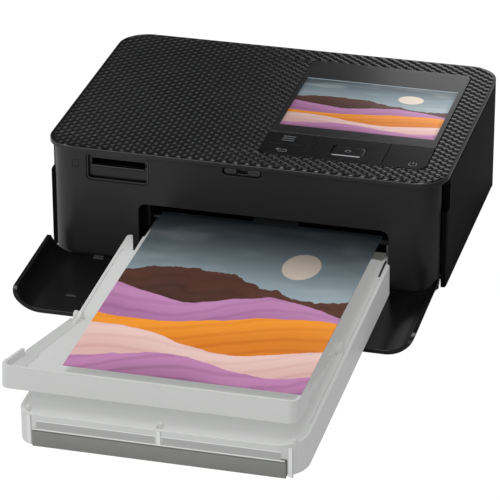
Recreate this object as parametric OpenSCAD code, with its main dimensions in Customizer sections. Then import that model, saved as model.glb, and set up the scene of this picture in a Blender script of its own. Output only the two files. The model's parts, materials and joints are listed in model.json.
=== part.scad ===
// Compact photo printer with its paper cassette in place and the front cover let down.
// Millimetres, +Z up, +X to the right of the printer's front, the front towards -Y.

/* [Case] */
// Width of the case over the side panels
body_w = 182.2; // [176:0.2:200]
// Depth of the case from the rim's front edge to the back
body_d = 133; // [130:0.5:150]
// Height of the case from the table to the top
body_h = 57.6; // [56:0.2:70]
// Plan radius of the case's four upright corners
corner_r = 14; // [10:0.5:18]
// Thickness of the side and rear panels
panel_t = 2; // [1.6:0.1:2.4]
// Thickness of the top cover and of its plain rim
cover_t = 2.6; // [2.2:0.1:3.2]
// Thickness of the base pan's floor
base_t = 2; // [1.6:0.1:2.6]
// Height that the rubber feet stand below the base pan
foot_h = 2.5; // [2:0.1:3]
// Diameter of a rubber foot
foot_d = 11; // [8:0.5:14]
// How far the front fascia sits behind the rim
fascia_back = 1.4; // [1:0.1:2]
// Thickness of the front fascia
fascia_t = 2.2; // [1.8:0.1:2.6]

/* [Front cover] */
// Thickness of the let-down front cover
door_t = 2; // [1.6:0.1:2.4]
// How far the closed cover would stand proud of the rim
door_proud = 0.9; // [0.4:0.1:1.2]
// Depth of the cover's side wings, from its outer face
wing_d = 10; // [8:0.1:10.4]
// Swing of the cover from shut to lying open, in degrees
door_open = 92; // [90:0.2:92]
// Height of the cover's hinge line
door_pin_z = 2.8; // [2.8:0.1:3.2]
// Radius of the cover's hinge pins
door_pin_r = 0.7; // [0.5:0.05:0.8]

/* [Finger notches] */
// Front edge of the side panels, from the rim's front edge
side_front = 10.8; // [10.6:0.1:12]
// Back edge of the finger notch
notch_back = 16; // [15:0.5:20]
// Height of the notch's lower edge
notch_z = 40; // [36:0.5:44]
// Depth of the finger pocket
pocket_d = 6; // [5:0.5:8]

/* [Control panel] */
// Left edge of the control panel
panel_x0 = 4; // [0:0.5:8]
// Width of the control panel
panel_w = 75.6; // [74:0.2:78]
// Front edge of the control panel
panel_y0 = 14.7; // [13:0.1:17]
// Depth of the control panel
panel_d = 105.6; // [102:0.2:108]
// Depth of the key row in front of the display glass
key_row = 22.9; // [20:0.1:24]
// Corner radius of the control panel
panel_r = 5; // [3:0.5:7]
// Thickness of the display glass
glass_t = 1.4; // [1:0.1:1.6]
// Gap between keys, glass and cover
key_gap = 0.3; // [0.2:0.05:0.4]
// Width of the left key, with menu and back on it
menu_w = 21.2; // [18:0.2:24]
// Width of the four-way pad
pad_w = 34.2; // [30:0.2:38]
// Width of the centre key
ok_w = 14.8; // [13:0.2:18]
// Depth of the centre key
ok_d = 9.9; // [8:0.1:12]
// Travel of a key
key_travel = 0.4; // [0.2:0.05:0.5]
// Viewing area of the display, width
lcd_w = 71.2; // [66:0.2:72]
// Viewing area of the display, depth
lcd_d = 54.2; // [50:0.2:56]

/* [Card slot and catch] */
// Left edge of the memory card recess
card_x0 = -71.1; // [-74:0.5:-68]
// Width of the memory card recess
card_w = 28.5; // [27:0.5:32]
// Height of the memory card recess
card_h = 12.9; // [11:0.1:14]
// Width of the card slot itself
card_slot_w = 24.4; // [24.2:0.1:25.4]
// Width of the catch recess for the front cover
catch_w = 17.8; // [15:0.2:20]
// Height of the catch recess
catch_h = 3.6; // [3:0.1:4.2]

/* [Paper path] */
// Width of a sheet
paper_w = 100; // [89:1:101]
// Length of the finished print
print_l = 148; // [119:1:150]
// Thickness modelled for the print
print_t = 0.3; // [0.2:0.05:0.4]
// Height of the paper path
path_z = 30; // [29.6:0.1:30.6]
// Sideways place of the paper path's centre line
path_x = 14.5; // [13.5:0.5:15]
// Length of an unprinted sheet with its tear-off ends
sheet_l = 174; // [160:1:176]
// Height of the paper stack
stack_h = 4.5; // [2:0.1:4.8]

/* [Cassette] */
// Left edge of the front opening
mouth_x0 = -47.4; // [-48:0.2:-46]
// Width of the front opening
mouth_w = 114.3; // [112:0.1:116]
// Top of the front opening
mouth_z = 32; // [31.6:0.1:36]
// Corner radius of the front opening
mouth_r = 3.5; // [2:0.5:5]
// Downward slope of the cassette to the front, in degrees
cass_slope = 1.5; // [1.2:0.1:1.5]
// Height of the cassette's underside where it meets the printer
cass_z = 5; // [5:0.1:5.4]
// Reach of the cassette in front of the printer
cass_out = 164; // [160:0.5:172]
// Reach of the cassette's nose into the printer
nose_in = 20; // [17:0.5:21]
// Left overhang of the cassette beyond the opening
cass_left = 3.3; // [2:0.1:5]
// Right overhang of the cassette beyond the opening
cass_right = 2.4; // [2:0.1:4]
// Height of the cassette's side walls
cass_h = 14.6; // [14:0.1:16]
// Wall thickness of the cassette
cass_t = 1.6; // [1.2:0.1:2]
// Clearance of the nose in the opening on the right
nose_gap = 0.5; // [0.3:0.1:1]
// Clearance of the nose in the opening on the left
nose_left = 3.9; // [2.5:0.1:4]
// Length of the open slots at the back of the cassette's sides
slot_l = 13.2; // [10:0.2:15]
// Width of the slot on the right
slot_w = 0.6; // [0.5:0.1:0.9]
// Height of the grey front bar
bar_h = 7.2; // [5:0.1:9]

/* [Output tray] */
// Distance of the tray's hinge from the printer
tray_hinge_y = 84; // [78:0.5:88]
// Upward tilt of the tray towards the front, in degrees
tray_tilt = 7; // [6:0.1:7.2]
// Length of the tray in front of its hinge
tray_l = 71; // [68:0.5:73]
// Sideways flare of the tray on the left
tray_flare = 9.5; // [3:0.1:10]
// Height of the tray's front wall below its floor
tray_skirt = 7; // [5:0.1:7.4]
// Height of the tray's lip above its floor
tray_lip = 3; // [1.5:0.1:3.2]
// Wall thickness of the tray
tray_t = 1.5; // [1.2:0.1:1.8]

/* [Print engine] */
// Radius of the steel capstan and of its pinch roller
cap_r = 3; // [2.5:0.1:3.4]
// Radius of the rubber platen roller
platen_r = 7; // [5:0.1:8]
// Radius of the pick-up roller
pickup_r = 8; // [7:0.1:8]
// Radius of the roller journals
journal_r = 2; // [1.5:0.1:2.2]
// Radial running clearance in the bearings
run_gap = 0.05; // [0.03:0.01:0.08]
// Thickness of the chassis plates
plate_t = 1.2; // [1:0.1:1.6]
// Gear module
gear_m = 0.8; // [0.7:0.05:0.9]
// Space between a full ribbon roll and the film under it
ribbon_gap = 3; // [2.6:0.1:5]
// Radius of the feed motor
motor_r = 9; // [8:0.5:10]

/* [Hidden] */
$fn = 64;
EPS = 0.01;

// Case levels and edges
half_w = body_w / 2;
base_z = foot_h;
floor_z = base_z + base_t;
rim_z = body_h - cover_t;
seat = 0.3;
in_w = half_w - panel_t;
rear_y = body_d - corner_r;
cc_x = half_w - corner_r;

// Front cover, in its shut place
door_y = -door_proud;
door_in_y = door_y + door_t;
door_top = rim_z - 0.5;
door_low = door_pin_z - 1.2;
door_cy = door_y + corner_r;
door_in_r = corner_r - door_t;
fascia_r = corner_r - door_t - (fascia_back - door_in_y);
fascia_x = cc_x + fascia_r;
fascia_cy = fascia_back + fascia_r;
fascia_in = fascia_back + fascia_t;
wing_y = door_y + wing_d;
wing_r = 5;
side_end = side_front - 0.5;
knuckle_r = door_pin_r + 0.6;
knuckle_l = 5;
door_arm_x = 66;

// Base pan
base_front = knuckle_r + 1.2;
cover_pin_r = 0.75;
hinge_x = in_w - cover_pin_r - 1.25;
hinge_z = foot_h + 3.6;
cover_relief = hinge_x - sqrt(pow(half_w - hinge_x, 2) + pow(hinge_z - foot_h - 0.4, 2)) - 0.4;
cover_arm_y = [side_front + 8, rear_y - 14];
cover_low = foot_h + 0.4;
cover_top = rim_z - 0.6;

// Control panel
panel_x1 = panel_x0 + panel_w;
panel_y1 = panel_y0 + panel_d;
glass_y = panel_y0 + key_row + key_gap;
ledge = 1.4;
ledge_z = body_h - glass_t;
key_t = 1.9;
key_z = body_h - key_t - 0.2;
board_t = 1.2;
board_top = rim_z - 2.6;
dome_h = key_z - board_top - key_travel - 0.9;
plunger_z = board_top + dome_h + key_travel + 0.1;
pad_x0 = panel_x0 + menu_w + key_gap;
power_x0 = pad_x0 + pad_w + key_gap;
key_y1 = panel_y0 + key_row;
key_pin_r = 0.5;
key_pin_z = key_z - key_pin_r + 0.1;
board_bosses = [panel_y0 - 2.5, key_y1 + 2.6];
ok_x = pad_x0 + pad_w / 2 + 0.2;
ok_y = panel_y0 + key_row / 2 - 0.9;
lcd_x = (panel_x0 + panel_x1) / 2;
lcd_y = glass_y + 35.2;
lcd_t = 3.6;
lcd_z = ledge_z - lcd_t;

// Card slot and catch
card_z1 = rim_z - 0.5;
card_z0 = card_z1 - card_h;
card_r = 2;
catch_x = 0.5;
catch_z = rim_z - 2.3;
reader_d = 27;

// Opening and cassette
mouth_x1 = mouth_x0 + mouth_w;
cass_x0 = mouth_x0 - cass_left;
cass_x1 = mouth_x1 + cass_right;
nose_x0 = mouth_x0 + nose_left;
nose_x1 = mouth_x1 - nose_gap;
cass_back = -4.4;
slot_y = cass_back - slot_l;
nose_h = cass_h - 1.4;
stack_z = cass_t + 2;
stack_y1 = nose_in - cass_t - 1;
lid_t = 1.2;
lid_z = cass_h - 0.2;
lid_gap = 0.4;

// Tray
tray_z = cass_h + 1.7;
tray_x0 = cass_x0;
tray_x1 = cass_x1 - 4.6;
tray_pin_r = 1;
ear_x = [cass_x0, cass_x1 - 4.3];
post_x = [cass_x0 + 4.2, (cass_x0 + cass_x1) / 2, cass_x1 - 4.6];
tray_r = 4;
tray_return = 21;

// Paper path and rollers
print_x0 = path_x - paper_w / 2;
print_y1 = 0.4;
cap_y = nose_in + 8;
platen_y = cap_y + 28;
cap_z = path_z - 0.1 - cap_r;
pinch_z = path_z + print_t + 0.1 + cap_r;
platen_z = path_z - 0.1 - platen_r;
roll_x0 = path_x - paper_w / 2 - 2;
roll_x1 = path_x + paper_w / 2 + 2;
plate_l = path_x - paper_w / 2 - 8.8;
plate_r = path_x + paper_w / 2 + 8;
plate_top = board_top - board_t - 0.6;
pickup_y = nose_in - 8;
arm_low = cass_z + nose_h + nose_in * sin(cass_slope) + 0.4;
pickup_z = cass_z + stack_z + stack_h + 0.7 + pickup_r;
film_z = path_z + print_t + 0.2;
film_t = 0.2;
spool_r = 2.6;
shell_t = 1.2;
roll_gap = 0.5;
supply_top = plate_top - 2.8;
ribbon_r = (supply_top - shell_t - roll_gap - film_z - film_t - ribbon_gap) / 2;
shell_r = ribbon_r + roll_gap + shell_t;
takeup_back = 10;
takeup_y = cap_y + takeup_back;
takeup_z = plate_top - 1.4 - ribbon_r - 1.6;
supply_back = 22;
supply_y = platen_y + supply_back;
supply_z = supply_top - shell_r;
ribbon_x0 = plate_l + plate_t + 2;
ribbon_x1 = in_w - 7;
pivot_back = 7.1;
plate_tail = 10;
head_pivot_y = supply_y + shell_r + pivot_back;
head_pivot_z = plate_top - 3;
plate_back = head_pivot_y + plate_tail;
head_half = paper_w / 2 + 2;
head_d = 8;
arm_in = 10;
arm_half = head_half - arm_in;
sink_d = 12;
fin_gap = 2.4;
fin_pitch = 6.4;
kiss = platen_r - 2;
head_z = film_z + film_t + 0.15;
head_t = 1.6;
sink_h = 6;
guide_z = path_z - 0.4;

// Gears
cap_teeth = 24;
idler_teeth = 30;
pinion_teeth = 10;
gear_w = 4;
gear_x = plate_l - 1 - gear_w;
idler_a = 20;
mesh1 = gear_m * (cap_teeth + idler_teeth) / 2;
idler_y = cap_y + mesh1 * cos(idler_a);
idler_z = cap_z + mesh1 * sin(idler_a);
mesh2 = gear_m * (idler_teeth + pinion_teeth) / 2;
motor_gap = 2.3;
// The motor lies against the lid, and beside the idler where the lid is high
motor_lean = (rim_z - motor_gap - motor_r - idler_z) / mesh2;
pinion_a = motor_lean < sin(45) ? asin(motor_lean) : 45;
motor_y = idler_y + mesh2 * cos(pinion_a);
motor_z = idler_z + mesh2 * sin(pinion_a);
motor_x1 = gear_x - 1.5;
motor_l = 24;

// Rear sockets
socket_x = -cc_x + 5.1;
port_x = socket_x + 18;
board_x0 = -in_w + 4;
board_x1 = plate_l - 3;
board_y0 = rear_y - 46;
board_z = floor_z + 4;
socket_h = 11;
slot_z0 = path_z - 2.4;
slot_z1 = path_z + 4.4;

// The whole object is centred front to back
y_shift = (cass_out * cos(cass_slope) + cass_h * sin(cass_slope) - body_d) / 2;

// Piece to draw: all, or the name of one node

// ---------- shared shapes ----------
module corner_cut(x, y, sx, sy, r) {
  difference() {
    translate([min(x - sx * EPS, x + sx * r), min(y - sy * EPS, y + sy * r)]) square(r + EPS);
    translate([x + sx * r, y + sy * r]) circle(r);
  }
}

// Rounded rectangle, with its radii given front-left, front-right, back-right, back-left
module rr4(x0, y0, x1, y1, a, b, c, d) {
  difference() {
    translate([x0, y0]) square([x1 - x0, y1 - y0]);
    if (a > 0) corner_cut(x0, y0, 1, 1, a);
    if (b > 0) corner_cut(x1, y0, -1, 1, b);
    if (c > 0) corner_cut(x1, y1, -1, -1, c);
    if (d > 0) corner_cut(x0, y1, 1, -1, d);
  }
}

module rr(x0, y0, x1, y1, r) {
  rr4(x0, y0, x1, y1, r, r, r, r);
}

module slab(z0, z1) {
  translate([0, 0, z0]) linear_extrude(z1 - z0) children();
}

module box(x0, y0, z0, x1, y1, z1) {
  translate([x0, y0, z0]) cube([x1 - x0, y1 - y0, z1 - z0]);
}

// Round bar along X
module bar_x(x0, x1, y, z, r) {
  translate([x0, y, z]) rotate([0, 90, 0]) cylinder(h = x1 - x0, r = r);
}

// Round bar along Y
module bar_y(y0, y1, x, z, r) {
  translate([x, y0, z]) rotate([-90, 0, 0]) cylinder(h = y1 - y0, r = r);
}

// Plate standing across Y, drawn as X and Z
module wall_y(y0, y1) {
  translate([0, y1, 0]) rotate([90, 0, 0]) linear_extrude(y1 - y0) children();
}

// Plate standing across X, drawn as Y and Z
module wall_x(x0, x1) {
  translate([x0, 0, 0]) rotate([90, 0, 90]) linear_extrude(x1 - x0) children();
}

// Outline of the case in plan, drawn in by t
module outline(t) {
  rr(-half_w + t, t, half_w - t, body_d - t, corner_r - t);
}

// The cassette's own frame: sloping down to the front
module in_cassette() {
  translate([0, 0, cass_z]) rotate([cass_slope, 0, 0]) children();
}

// The tray's own frame: its hinge line at the origin, tilted up to the front
module in_tray() {
  in_cassette() translate([0, -tray_hinge_y, tray_z]) rotate([-tray_tilt - cass_slope, 0, 0]) children();
}

// The front cover's own frame: shut in the module, lying open in the model
module laid_open() {
  translate([0, 0, door_pin_z]) rotate([door_open, 0, 0]) translate([0, 0, -door_pin_z]) children();
}

// ---------- case ----------
boss_r = 3.2;
boss_x = cover_relief - boss_r - 0.6;
boss_spots = [for (x = [-boss_x, boss_x]) for (y = [side_front + 5.2, rear_y - 8]) [x, y]];
screw_r = 1.5;
boss_h = 9;

module base_pan() color("#2b2b2d") {
  difference() {
    union() {
      slab(base_z, floor_z) difference() {
        rr(-in_w, base_front, in_w, body_d - panel_t, corner_r - panel_t);
        translate([cover_relief, side_end]) square([half_w, rear_y - side_end]);
      }
      for (p = boss_spots) translate([p[0], p[1], floor_z - EPS]) cylinder(h = boss_h, r = boss_r);
      // Ears that carry the front cover
      for (s = [-1, 1]) door_ear(s);
      // Ears that carry the side cover
      for (y = cover_arm_y) cover_ear(y);
      // Posts under the main board
      for (x = [board_x0 + 4, board_x1 - 4]) for (y = [board_y0 + 4, rear_y - 3])
        translate([x, y, floor_z - EPS]) cylinder(h = board_z - floor_z + EPS, r = 2);
      // Runners that carry the cassette's nose
      for (x = [nose_x0 + 8, nose_x1 - 12])
        box(x, base_front + 1, floor_z - EPS, x + 4, nose_in - 2, cass_z + 0.05);
      // Stop behind the cassette's nose
      box(path_x - 20, nose_in + 0.8, floor_z - EPS, path_x + 20, nose_in + 2.2, floor_z + 5);
    }
    for (p = boss_spots) translate([p[0], p[1], base_z - EPS]) {
      cylinder(h = boss_h + base_t + 1, r = screw_r + 0.05);
      cylinder(h = 1.2 + EPS, r = screw_r * 2);
    }
    for (s = [-1, 1]) bar_x(s * door_arm_x - 10, s * door_arm_x + 10, 0, door_pin_z, door_pin_r + run_gap);
    for (y = cover_arm_y) bar_y(y - 10, y + 10, hinge_x, hinge_z, cover_pin_r + run_gap);
    // Vent slots in the floor
    for (i = [0 : 7]) box(-in_w + 5.1 + i * 4, 62, base_z - EPS, -in_w + 7.1 + i * 4, 81.9, floor_z + EPS);
  }
}

module door_ear(s) {
  x0 = s * door_arm_x - knuckle_l / 2;
  x1 = s * door_arm_x + knuckle_l / 2;
  bar_x(x0, x1, 0, door_pin_z, knuckle_r);
  box(x0, 0, door_pin_z - knuckle_r + 0.6, x1, base_front + 1, floor_z);
}

module cover_ear(y) {
  r = cover_pin_r + 0.9;
  bar_y(y, y + 3, hinge_x, hinge_z, r);
  box(cover_relief - 4, y, min(floor_z - EPS, hinge_z - r), cover_relief + 0.5, y + 3, hinge_z + r);
  box(cover_relief - 4, y, hinge_z - r, hinge_x, y + 3, hinge_z + r);
}

module feet() color("#1c1c1d") {
  for (x = [-62, 62]) for (y = [20, rear_y - 4]) translate([x, y, 0]) {
    cylinder(h = foot_h, r = foot_d / 2);
  }
}

module front_fascia() color("#303032") {
  difference() {
    slab(floor_z, rim_z) difference() {
      rr(-fascia_x, fascia_back, fascia_x, body_d, fascia_r);
      rr(-fascia_x + fascia_t, fascia_in, fascia_x - fascia_t, body_d + 1, fascia_r - fascia_t);
      translate([-half_w, side_end]) square([body_w, body_d]);
    }
    // Front opening for the cassette
    wall_y(fascia_back - 1, fascia_in + 1)
      rr4(mouth_x0, 0, mouth_x1, mouth_z, 0, 0, mouth_r, mouth_r);
    // Memory card recess
    wall_y(fascia_back - 1, fascia_in + 1) rr(card_x0, card_z0, card_x0 + card_w, card_z1, card_r);
    // Catch recess
    wall_y(fascia_back - 1, fascia_in + 1)
      rr(catch_x - catch_w / 2, catch_z - catch_h / 2, catch_x + catch_w / 2, catch_z + catch_h / 2,
        catch_h / 2 - 0.02);
  }
}

// The top cover's skirt, drawn in by t
module skirt_plan(t) {
  rr(-fascia_x + fascia_t + 0.3 + t, fascia_in + 0.3 + t, fascia_x - fascia_t - 0.3 - t,
    body_d - panel_t - 1.5 - t, fascia_r - fascia_t - 0.3 - t);
}

module top_cover() color("#4a4a4c") {
  difference() {
    union() {
      slab(rim_z, body_h) outline(0);
      // Skirt inside the fascia and the panels
      slab(rim_z - 3, rim_z + EPS) difference() {
        skirt_plan(0);
        skirt_plan(1.4);
        // Room for the card reader, the catch and the finger pockets
        translate([card_x0 - 2, 0]) square([card_w + 4, 20]);
        translate([catch_x - catch_w / 2 - 2, 0]) square([catch_w + 4, 20]);
        for (s = [-1, 1]) translate([min(s * half_w, s * (in_w - pocket_d - 0.4)), 0])
          square([half_w - in_w + pocket_d + 0.4, notch_back + 1.6]);
      }
      // Bosses that hold the key board
      for (x = [panel_x0 + 2.4, panel_x1 - 2.4]) for (y = board_bosses)
        translate([x, y, board_top]) cylinder(h = rim_z - board_top + EPS, r = 1.6);
      // Rail in front of and behind the display module
      for (y = [lcd_y - lcd_d / 2 - 5.5, lcd_y + lcd_d / 2 + 4])
        box(lcd_x - 20, y, lcd_z, lcd_x + 20, y + 1.5, rim_z + EPS);
    }
    slab(ledge_z, body_h + 1)
      rr(panel_x0 - key_gap, panel_y0 - key_gap, panel_x1 + key_gap, panel_y1 + key_gap, panel_r);
    // Window under the glass
    slab(rim_z - 4, ledge_z + EPS)
      rr(lcd_x - lcd_w / 2 - 0.6, lcd_y - lcd_d / 2 - 2.9, lcd_x + lcd_w / 2 + 0.6, lcd_y + lcd_d / 2 + 2.9, 1);
    // Hole for the keys
    slab(rim_z - 1, body_h + 1) rr4(panel_x0 - key_gap, panel_y0 - key_gap, panel_x1 + key_gap,
      key_y1 + key_gap, panel_r, panel_r, 0, 0);
  }
}

// Upright pocket behind a finger notch, on the inside of a side panel at x
module pocket(x) {
  w = 1.2;
  difference() {
    box(x - pocket_d, side_front, notch_z - w, x + EPS, notch_back + w, cover_top);
    box(x - pocket_d + w, side_front - 1, notch_z, x + panel_t + 1, notch_back, cover_top - w);
  }
}

// Right-hand side plate, bent with the case's front corner
module side_plate(z0, z1) {
  difference() {
    slab(z0, z1) difference() {
      outline(0);
      outline(panel_t);
      translate([-half_w - 1, -1]) square([half_w + cc_x, body_d + 2]);
      translate([0, -1]) square([body_w, side_front + 1]);
      translate([0, rear_y]) square([body_w, body_d]);
    }
    box(cc_x, side_front - 1, notch_z, half_w + 1, notch_back, z1 - 1.2);
  }
}

module left_panel() color("#3a3a3c") mirror([1, 0, 0]) {
  side_plate(base_z, rim_z);
  pocket(in_w);
  // Ribs that locate the panel on the base pan
  for (y = [40, 80]) box(in_w - 2, y, floor_z, in_w + EPS, y + 2, floor_z + 12);
}

module ink_cover() color("#3a3a3c") {
  difference() {
    union() {
      side_plate(cover_low, cover_top);
      pocket(in_w);
      for (y = cover_arm_y) for (d = [-2.6, 3.2]) {
        bar_y(y + d, y + d + 2.4, hinge_x, hinge_z, cover_pin_r + 1);
        box(hinge_x, y + d, hinge_z - 2, in_w + EPS, y + d + 2.4, hinge_z + 2);
      }
      // Stiffening ribs
      for (z = [18, 32]) box(in_w - 1.4, side_front + 12, z, in_w + EPS, rear_y - 8, z + 1.2);
    }
    for (y = cover_arm_y) bar_y(y - 6, y + 10, hinge_x, hinge_z, cover_pin_r + run_gap);
  }
}

module rear_panel() color("#3a3a3c") {
  difference() {
    union() {
      slab(base_z, rim_z) difference() {
        outline(0);
        rr(-in_w, -50, in_w, body_d - panel_t, corner_r - panel_t);
        translate([-half_w - 1, -1]) square([body_w + 2, rear_y + seat + 1]);
      }
      // Frame around the paper slot
      wall_y(body_d - panel_t - 4, body_d - panel_t + EPS) difference() {
        rr(path_x - paper_w / 2 - 5.5, slot_z0 - 1.2, path_x + paper_w / 2 + 5.5, slot_z1 + 1.2, 1.2);
        rr(path_x - paper_w / 2 - 4, slot_z0, path_x + paper_w / 2 + 4, slot_z1, 1);
      }
    }
    wall_y(body_d - panel_t - 5, body_d + 1)
      rr(path_x - paper_w / 2 - 4, slot_z0, path_x + paper_w / 2 + 4, slot_z1, 1);
    // Sockets
    wall_y(body_d - panel_t - 1, body_d + 1)
      rr(socket_x - 5.2, board_z + board_t - 0.3, socket_x + 5.2, board_z + board_t + socket_h - 0.6, 0.6);
    wall_y(body_d - panel_t - 1, body_d + 1)
      rr(port_x - 5.2, board_z + board_t - 0.3, port_x + 5.2, board_z + board_t + 4.1, 1.5);
    // Vents
    for (i = [0 : 11]) wall_y(body_d - panel_t - 1, body_d + 1)
      rr(-cc_x + 7.1 + i * 4, slot_z1 + 1.2, -cc_x + 9.1 + i * 4, rim_z - 7.4, 0.9);
    for (i = [0 : 15]) wall_y(body_d - panel_t - 1, body_d + 1)
      rr(cc_x - 71.1 + i * 4, slot_z1 + 5.2, cc_x - 69.1 + i * 4, rim_z - 5.4, 0.9);
  }
}

module case_screws() color("#8d9095") {
  for (p = boss_spots) translate([p[0], p[1], base_z]) {
    difference() {
      cylinder(h = 1.2, r = screw_r * 2 - 0.1);
      translate([0, 0, -EPS]) cylinder(h = 0.7, r = 1.1, $fn = 6);
    }
    translate([0, 0, 1.2 - EPS]) cylinder(h = boss_h - 1, r = screw_r);
  }
}

module hinge_pins() color("#a7aaae") {
  for (s = [-1, 1])
    bar_x(s * door_arm_x - knuckle_l / 2 - 3, s * door_arm_x + knuckle_l / 2 + 3, 0, door_pin_z, door_pin_r);
  for (y = cover_arm_y) bar_y(y - 2.4, y + 5.4, hinge_x, hinge_z, cover_pin_r);
}

// ---------- front cover ----------
module front_door() color("#1d1d1f") laid_open() {
  difference() {
    union() {
      slab(door_low, door_top) difference() {
        rr(-half_w, door_y, half_w, body_d, corner_r);
        rr(-half_w + door_t, door_in_y, half_w - door_t, body_d + 1, door_in_r);
        translate([-half_w - 1, wing_y]) square([body_w + 2, body_d]);
      }
      // Knuckles on both sides of each ear
      for (s = [-1, 1]) for (d = [-1, 1]) {
        x = s * door_arm_x + d * (knuckle_l / 2 + 1.7) - 1.5;
        bar_x(x, x + 3, 0, door_pin_z, knuckle_r);
        box(x, door_y + 0.2, door_pin_z, x + 3, door_in_y, door_pin_z + 3);
      }
      // Keeper that the fascia's catch takes
      box(catch_x - 3, door_in_y - EPS, catch_z - 0.9, catch_x + 3, door_in_y + 0.5, catch_z + 0.6);
      // Short rib inside the cover's left part
      box(-69.6, door_in_y - EPS, door_top - 15.2, -65.1, door_in_y + 0.28, door_top - 14.6);
    }
    // Rounded ends of the wings
    wall_x(-half_w - 1, half_w + 1) corner_cut(wing_y, door_top, -1, -1, wing_r);
    // Clearance for the ears and for the front edge of the base pan
    for (s = [-1, 1])
      box(s * door_arm_x - knuckle_l / 2 - 0.2, door_y - 1, door_low - 1,
        s * door_arm_x + knuckle_l / 2 + 0.2, door_in_y + 1, door_pin_z + knuckle_r + 0.5);
    for (s = [-1, 1])
      bar_x(s * door_arm_x - 10, s * door_arm_x + 10, 0, door_pin_z, door_pin_r + run_gap);
  }
}

module latch_catch() color("#151517") {
  w = catch_w / 2 - 0.6;
  h = catch_h / 2 - 0.3;
  difference() {
    union() {
      box(catch_x - w - 2, fascia_in, catch_z - h - 1.6, catch_x + w + 2, fascia_in + 4, rim_z - 0.2);
      for (s = [-1, 1]) wall_y(fascia_back + 0.6, fascia_in + EPS)
        rr(catch_x + min(s * 2.5, s * w), catch_z - h, catch_x + max(s * 2.5, s * w), catch_z + h, h - 0.2);
    }
    box(catch_x - 2.35, fascia_back - 1, catch_z - h, catch_x + 2.35, fascia_in + 3, catch_z + h);
  }
}

module card_reader() color("#1b1b1d") {
  x0 = card_x0 + (card_w - card_slot_w) / 2;
  x1 = x0 + card_slot_w;
  z = card_z1 - 4.6;
  difference() {
    union() {
      // Bezel that lines the recess
      wall_y(fascia_in, fascia_in + 1.2)
        rr(card_x0 - 1.5, card_z0 - 1.5, card_x0 + card_w + 1.5, rim_z - 0.1, 1);
      // Reader body
      box(x0 - 1.6, fascia_in + 1, card_z0 + 2.4, x1 + 1.6, fascia_in + reader_d, card_z1 - 0.6);
      // Lip under the slot
      box(x0, fascia_back + 0.7, z - 2.2, x1, fascia_in + EPS, z - 1.2);
    }
    box(x0, fascia_back - 1, z - 1.1, x1, fascia_in + reader_d - 3, z + 1.3);
  }
}

// ---------- control panel ----------
module display_glass() color("#2a2b2e") {
  slab(ledge_z, body_h) rr4(panel_x0, glass_y, panel_x1, panel_y1, 0.3, 0.3, panel_r - key_gap, panel_r - key_gap);
}

module display_module() color("#b9c6cf") {
  x0 = lcd_x - lcd_w / 2;
  y0 = lcd_y - lcd_d / 2;
  box(x0, y0 - 2, lcd_z, x0 + lcd_w, y0 + lcd_d + 2, ledge_z);
}

// A key cap with its plunger over the key board
module key_cap(x0, y0, x1, y1, px, a, b) {
  slab(key_z, body_h - 0.05) rr4(x0, y0, x1, y1, a, b, 0.3, 0.3);
  for (x = px) translate([x, (y0 + y1) / 2, plunger_z])
    cylinder(h = key_z - plunger_z + EPS, r = 1.4);
}

module menu_key() color("#333437") {
  xm = panel_x0 + menu_w / 2;
  difference() {
    union() {
      slab(key_z, body_h - 0.05)
        rr4(panel_x0, panel_y0, panel_x0 + menu_w, key_y1, panel_r - key_gap, 0.3, 0.3, 0.3);
      for (y = [panel_y0 + 6, key_y1 - 6]) translate([xm, y, plunger_z])
        cylinder(h = key_z - plunger_z + EPS, r = 1.4);
      // Round bar that the key rocks on
      bar_x(xm - 4, xm + 4, (panel_y0 + key_y1) / 2, key_pin_z, key_pin_r);
    }
    // Groove between the two halves
    box(panel_x0 + 3.5, panel_y0 + 10.2, body_h - 0.35, panel_x0 + menu_w - 3, panel_y0 + 10.7, body_h + 1);
  }
}

module nav_pad() color("#333437") {
  difference() {
    union() {
      slab(key_z, body_h - 0.05) rr(pad_x0, panel_y0, pad_x0 + pad_w, key_y1, 0.3);
      for (p = pad_spots) translate([p[0], p[1], plunger_z]) cylinder(h = key_z - plunger_z + EPS, r = 1.2);
      // Round bars that lie on the ring's nubs
      for (s = [-1, 1]) bar_y(ok_y + s * ring_mid_y - 0.8, ok_y + s * ring_mid_y + 0.8, ok_x, pad_pin_z, pad_pin_r);
    }
    slab(key_z - 1, body_h + 1)
      rr(ok_x - ok_w / 2 - 0.3, ok_y - ok_d / 2 - 0.3, ok_x + ok_w / 2 + 0.3, ok_y + ok_d / 2 + 0.3, 2.3);
  }
}

// Switches under the four-way pad
pad_spots = [[ok_x - 14.2, ok_y], [ok_x + 14.2, ok_y], [ok_x, panel_y0 + 1.7], [ok_x, key_y1 - 3.2]];
ring_z = key_z - 1.6;
ring_w = 1.8;
ring_t = 0.8;
pad_pin_r = 0.4;
pad_pin_z = key_z - pad_pin_r + 0.1;
ring_pin_z = ring_z + ring_t / 2;
ring_mid_y = ok_d / 2 + 0.4 + ring_w / 2;
ring_post_x = ok_w / 2 + 0.4 + ring_w + 0.55;

module ring_outline(d) {
  rr(ok_x - ok_w / 2 - 0.4 - d, ok_y - ok_d / 2 - 0.4 - d, ok_x + ok_w / 2 + 0.4 + d,
    ok_y + ok_d / 2 + 0.4 + d, 1);
}

// Ring that rocks on two posts of the key board and carries the pad on two nubs
module pad_gimbal() color("#55575b") {
  slab(ring_z, ring_z + ring_t) difference() {
    ring_outline(ring_w);
    ring_outline(0);
  }
  for (s = [-1, 1]) translate([ok_x, ok_y + s * ring_mid_y, ring_z + ring_t - EPS])
    cylinder(h = pad_pin_z - pad_pin_r - 0.04 - ring_z - ring_t + EPS, r = 0.5);
  // Round bars that lie on the key board's posts
  for (s = [-1, 1])
    bar_x(ok_x + s * (ring_post_x - 0.175) - 0.625, ok_x + s * (ring_post_x - 0.175) + 0.625, ok_y,
      ring_pin_z, ring_t / 2 - 0.02);
}

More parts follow.
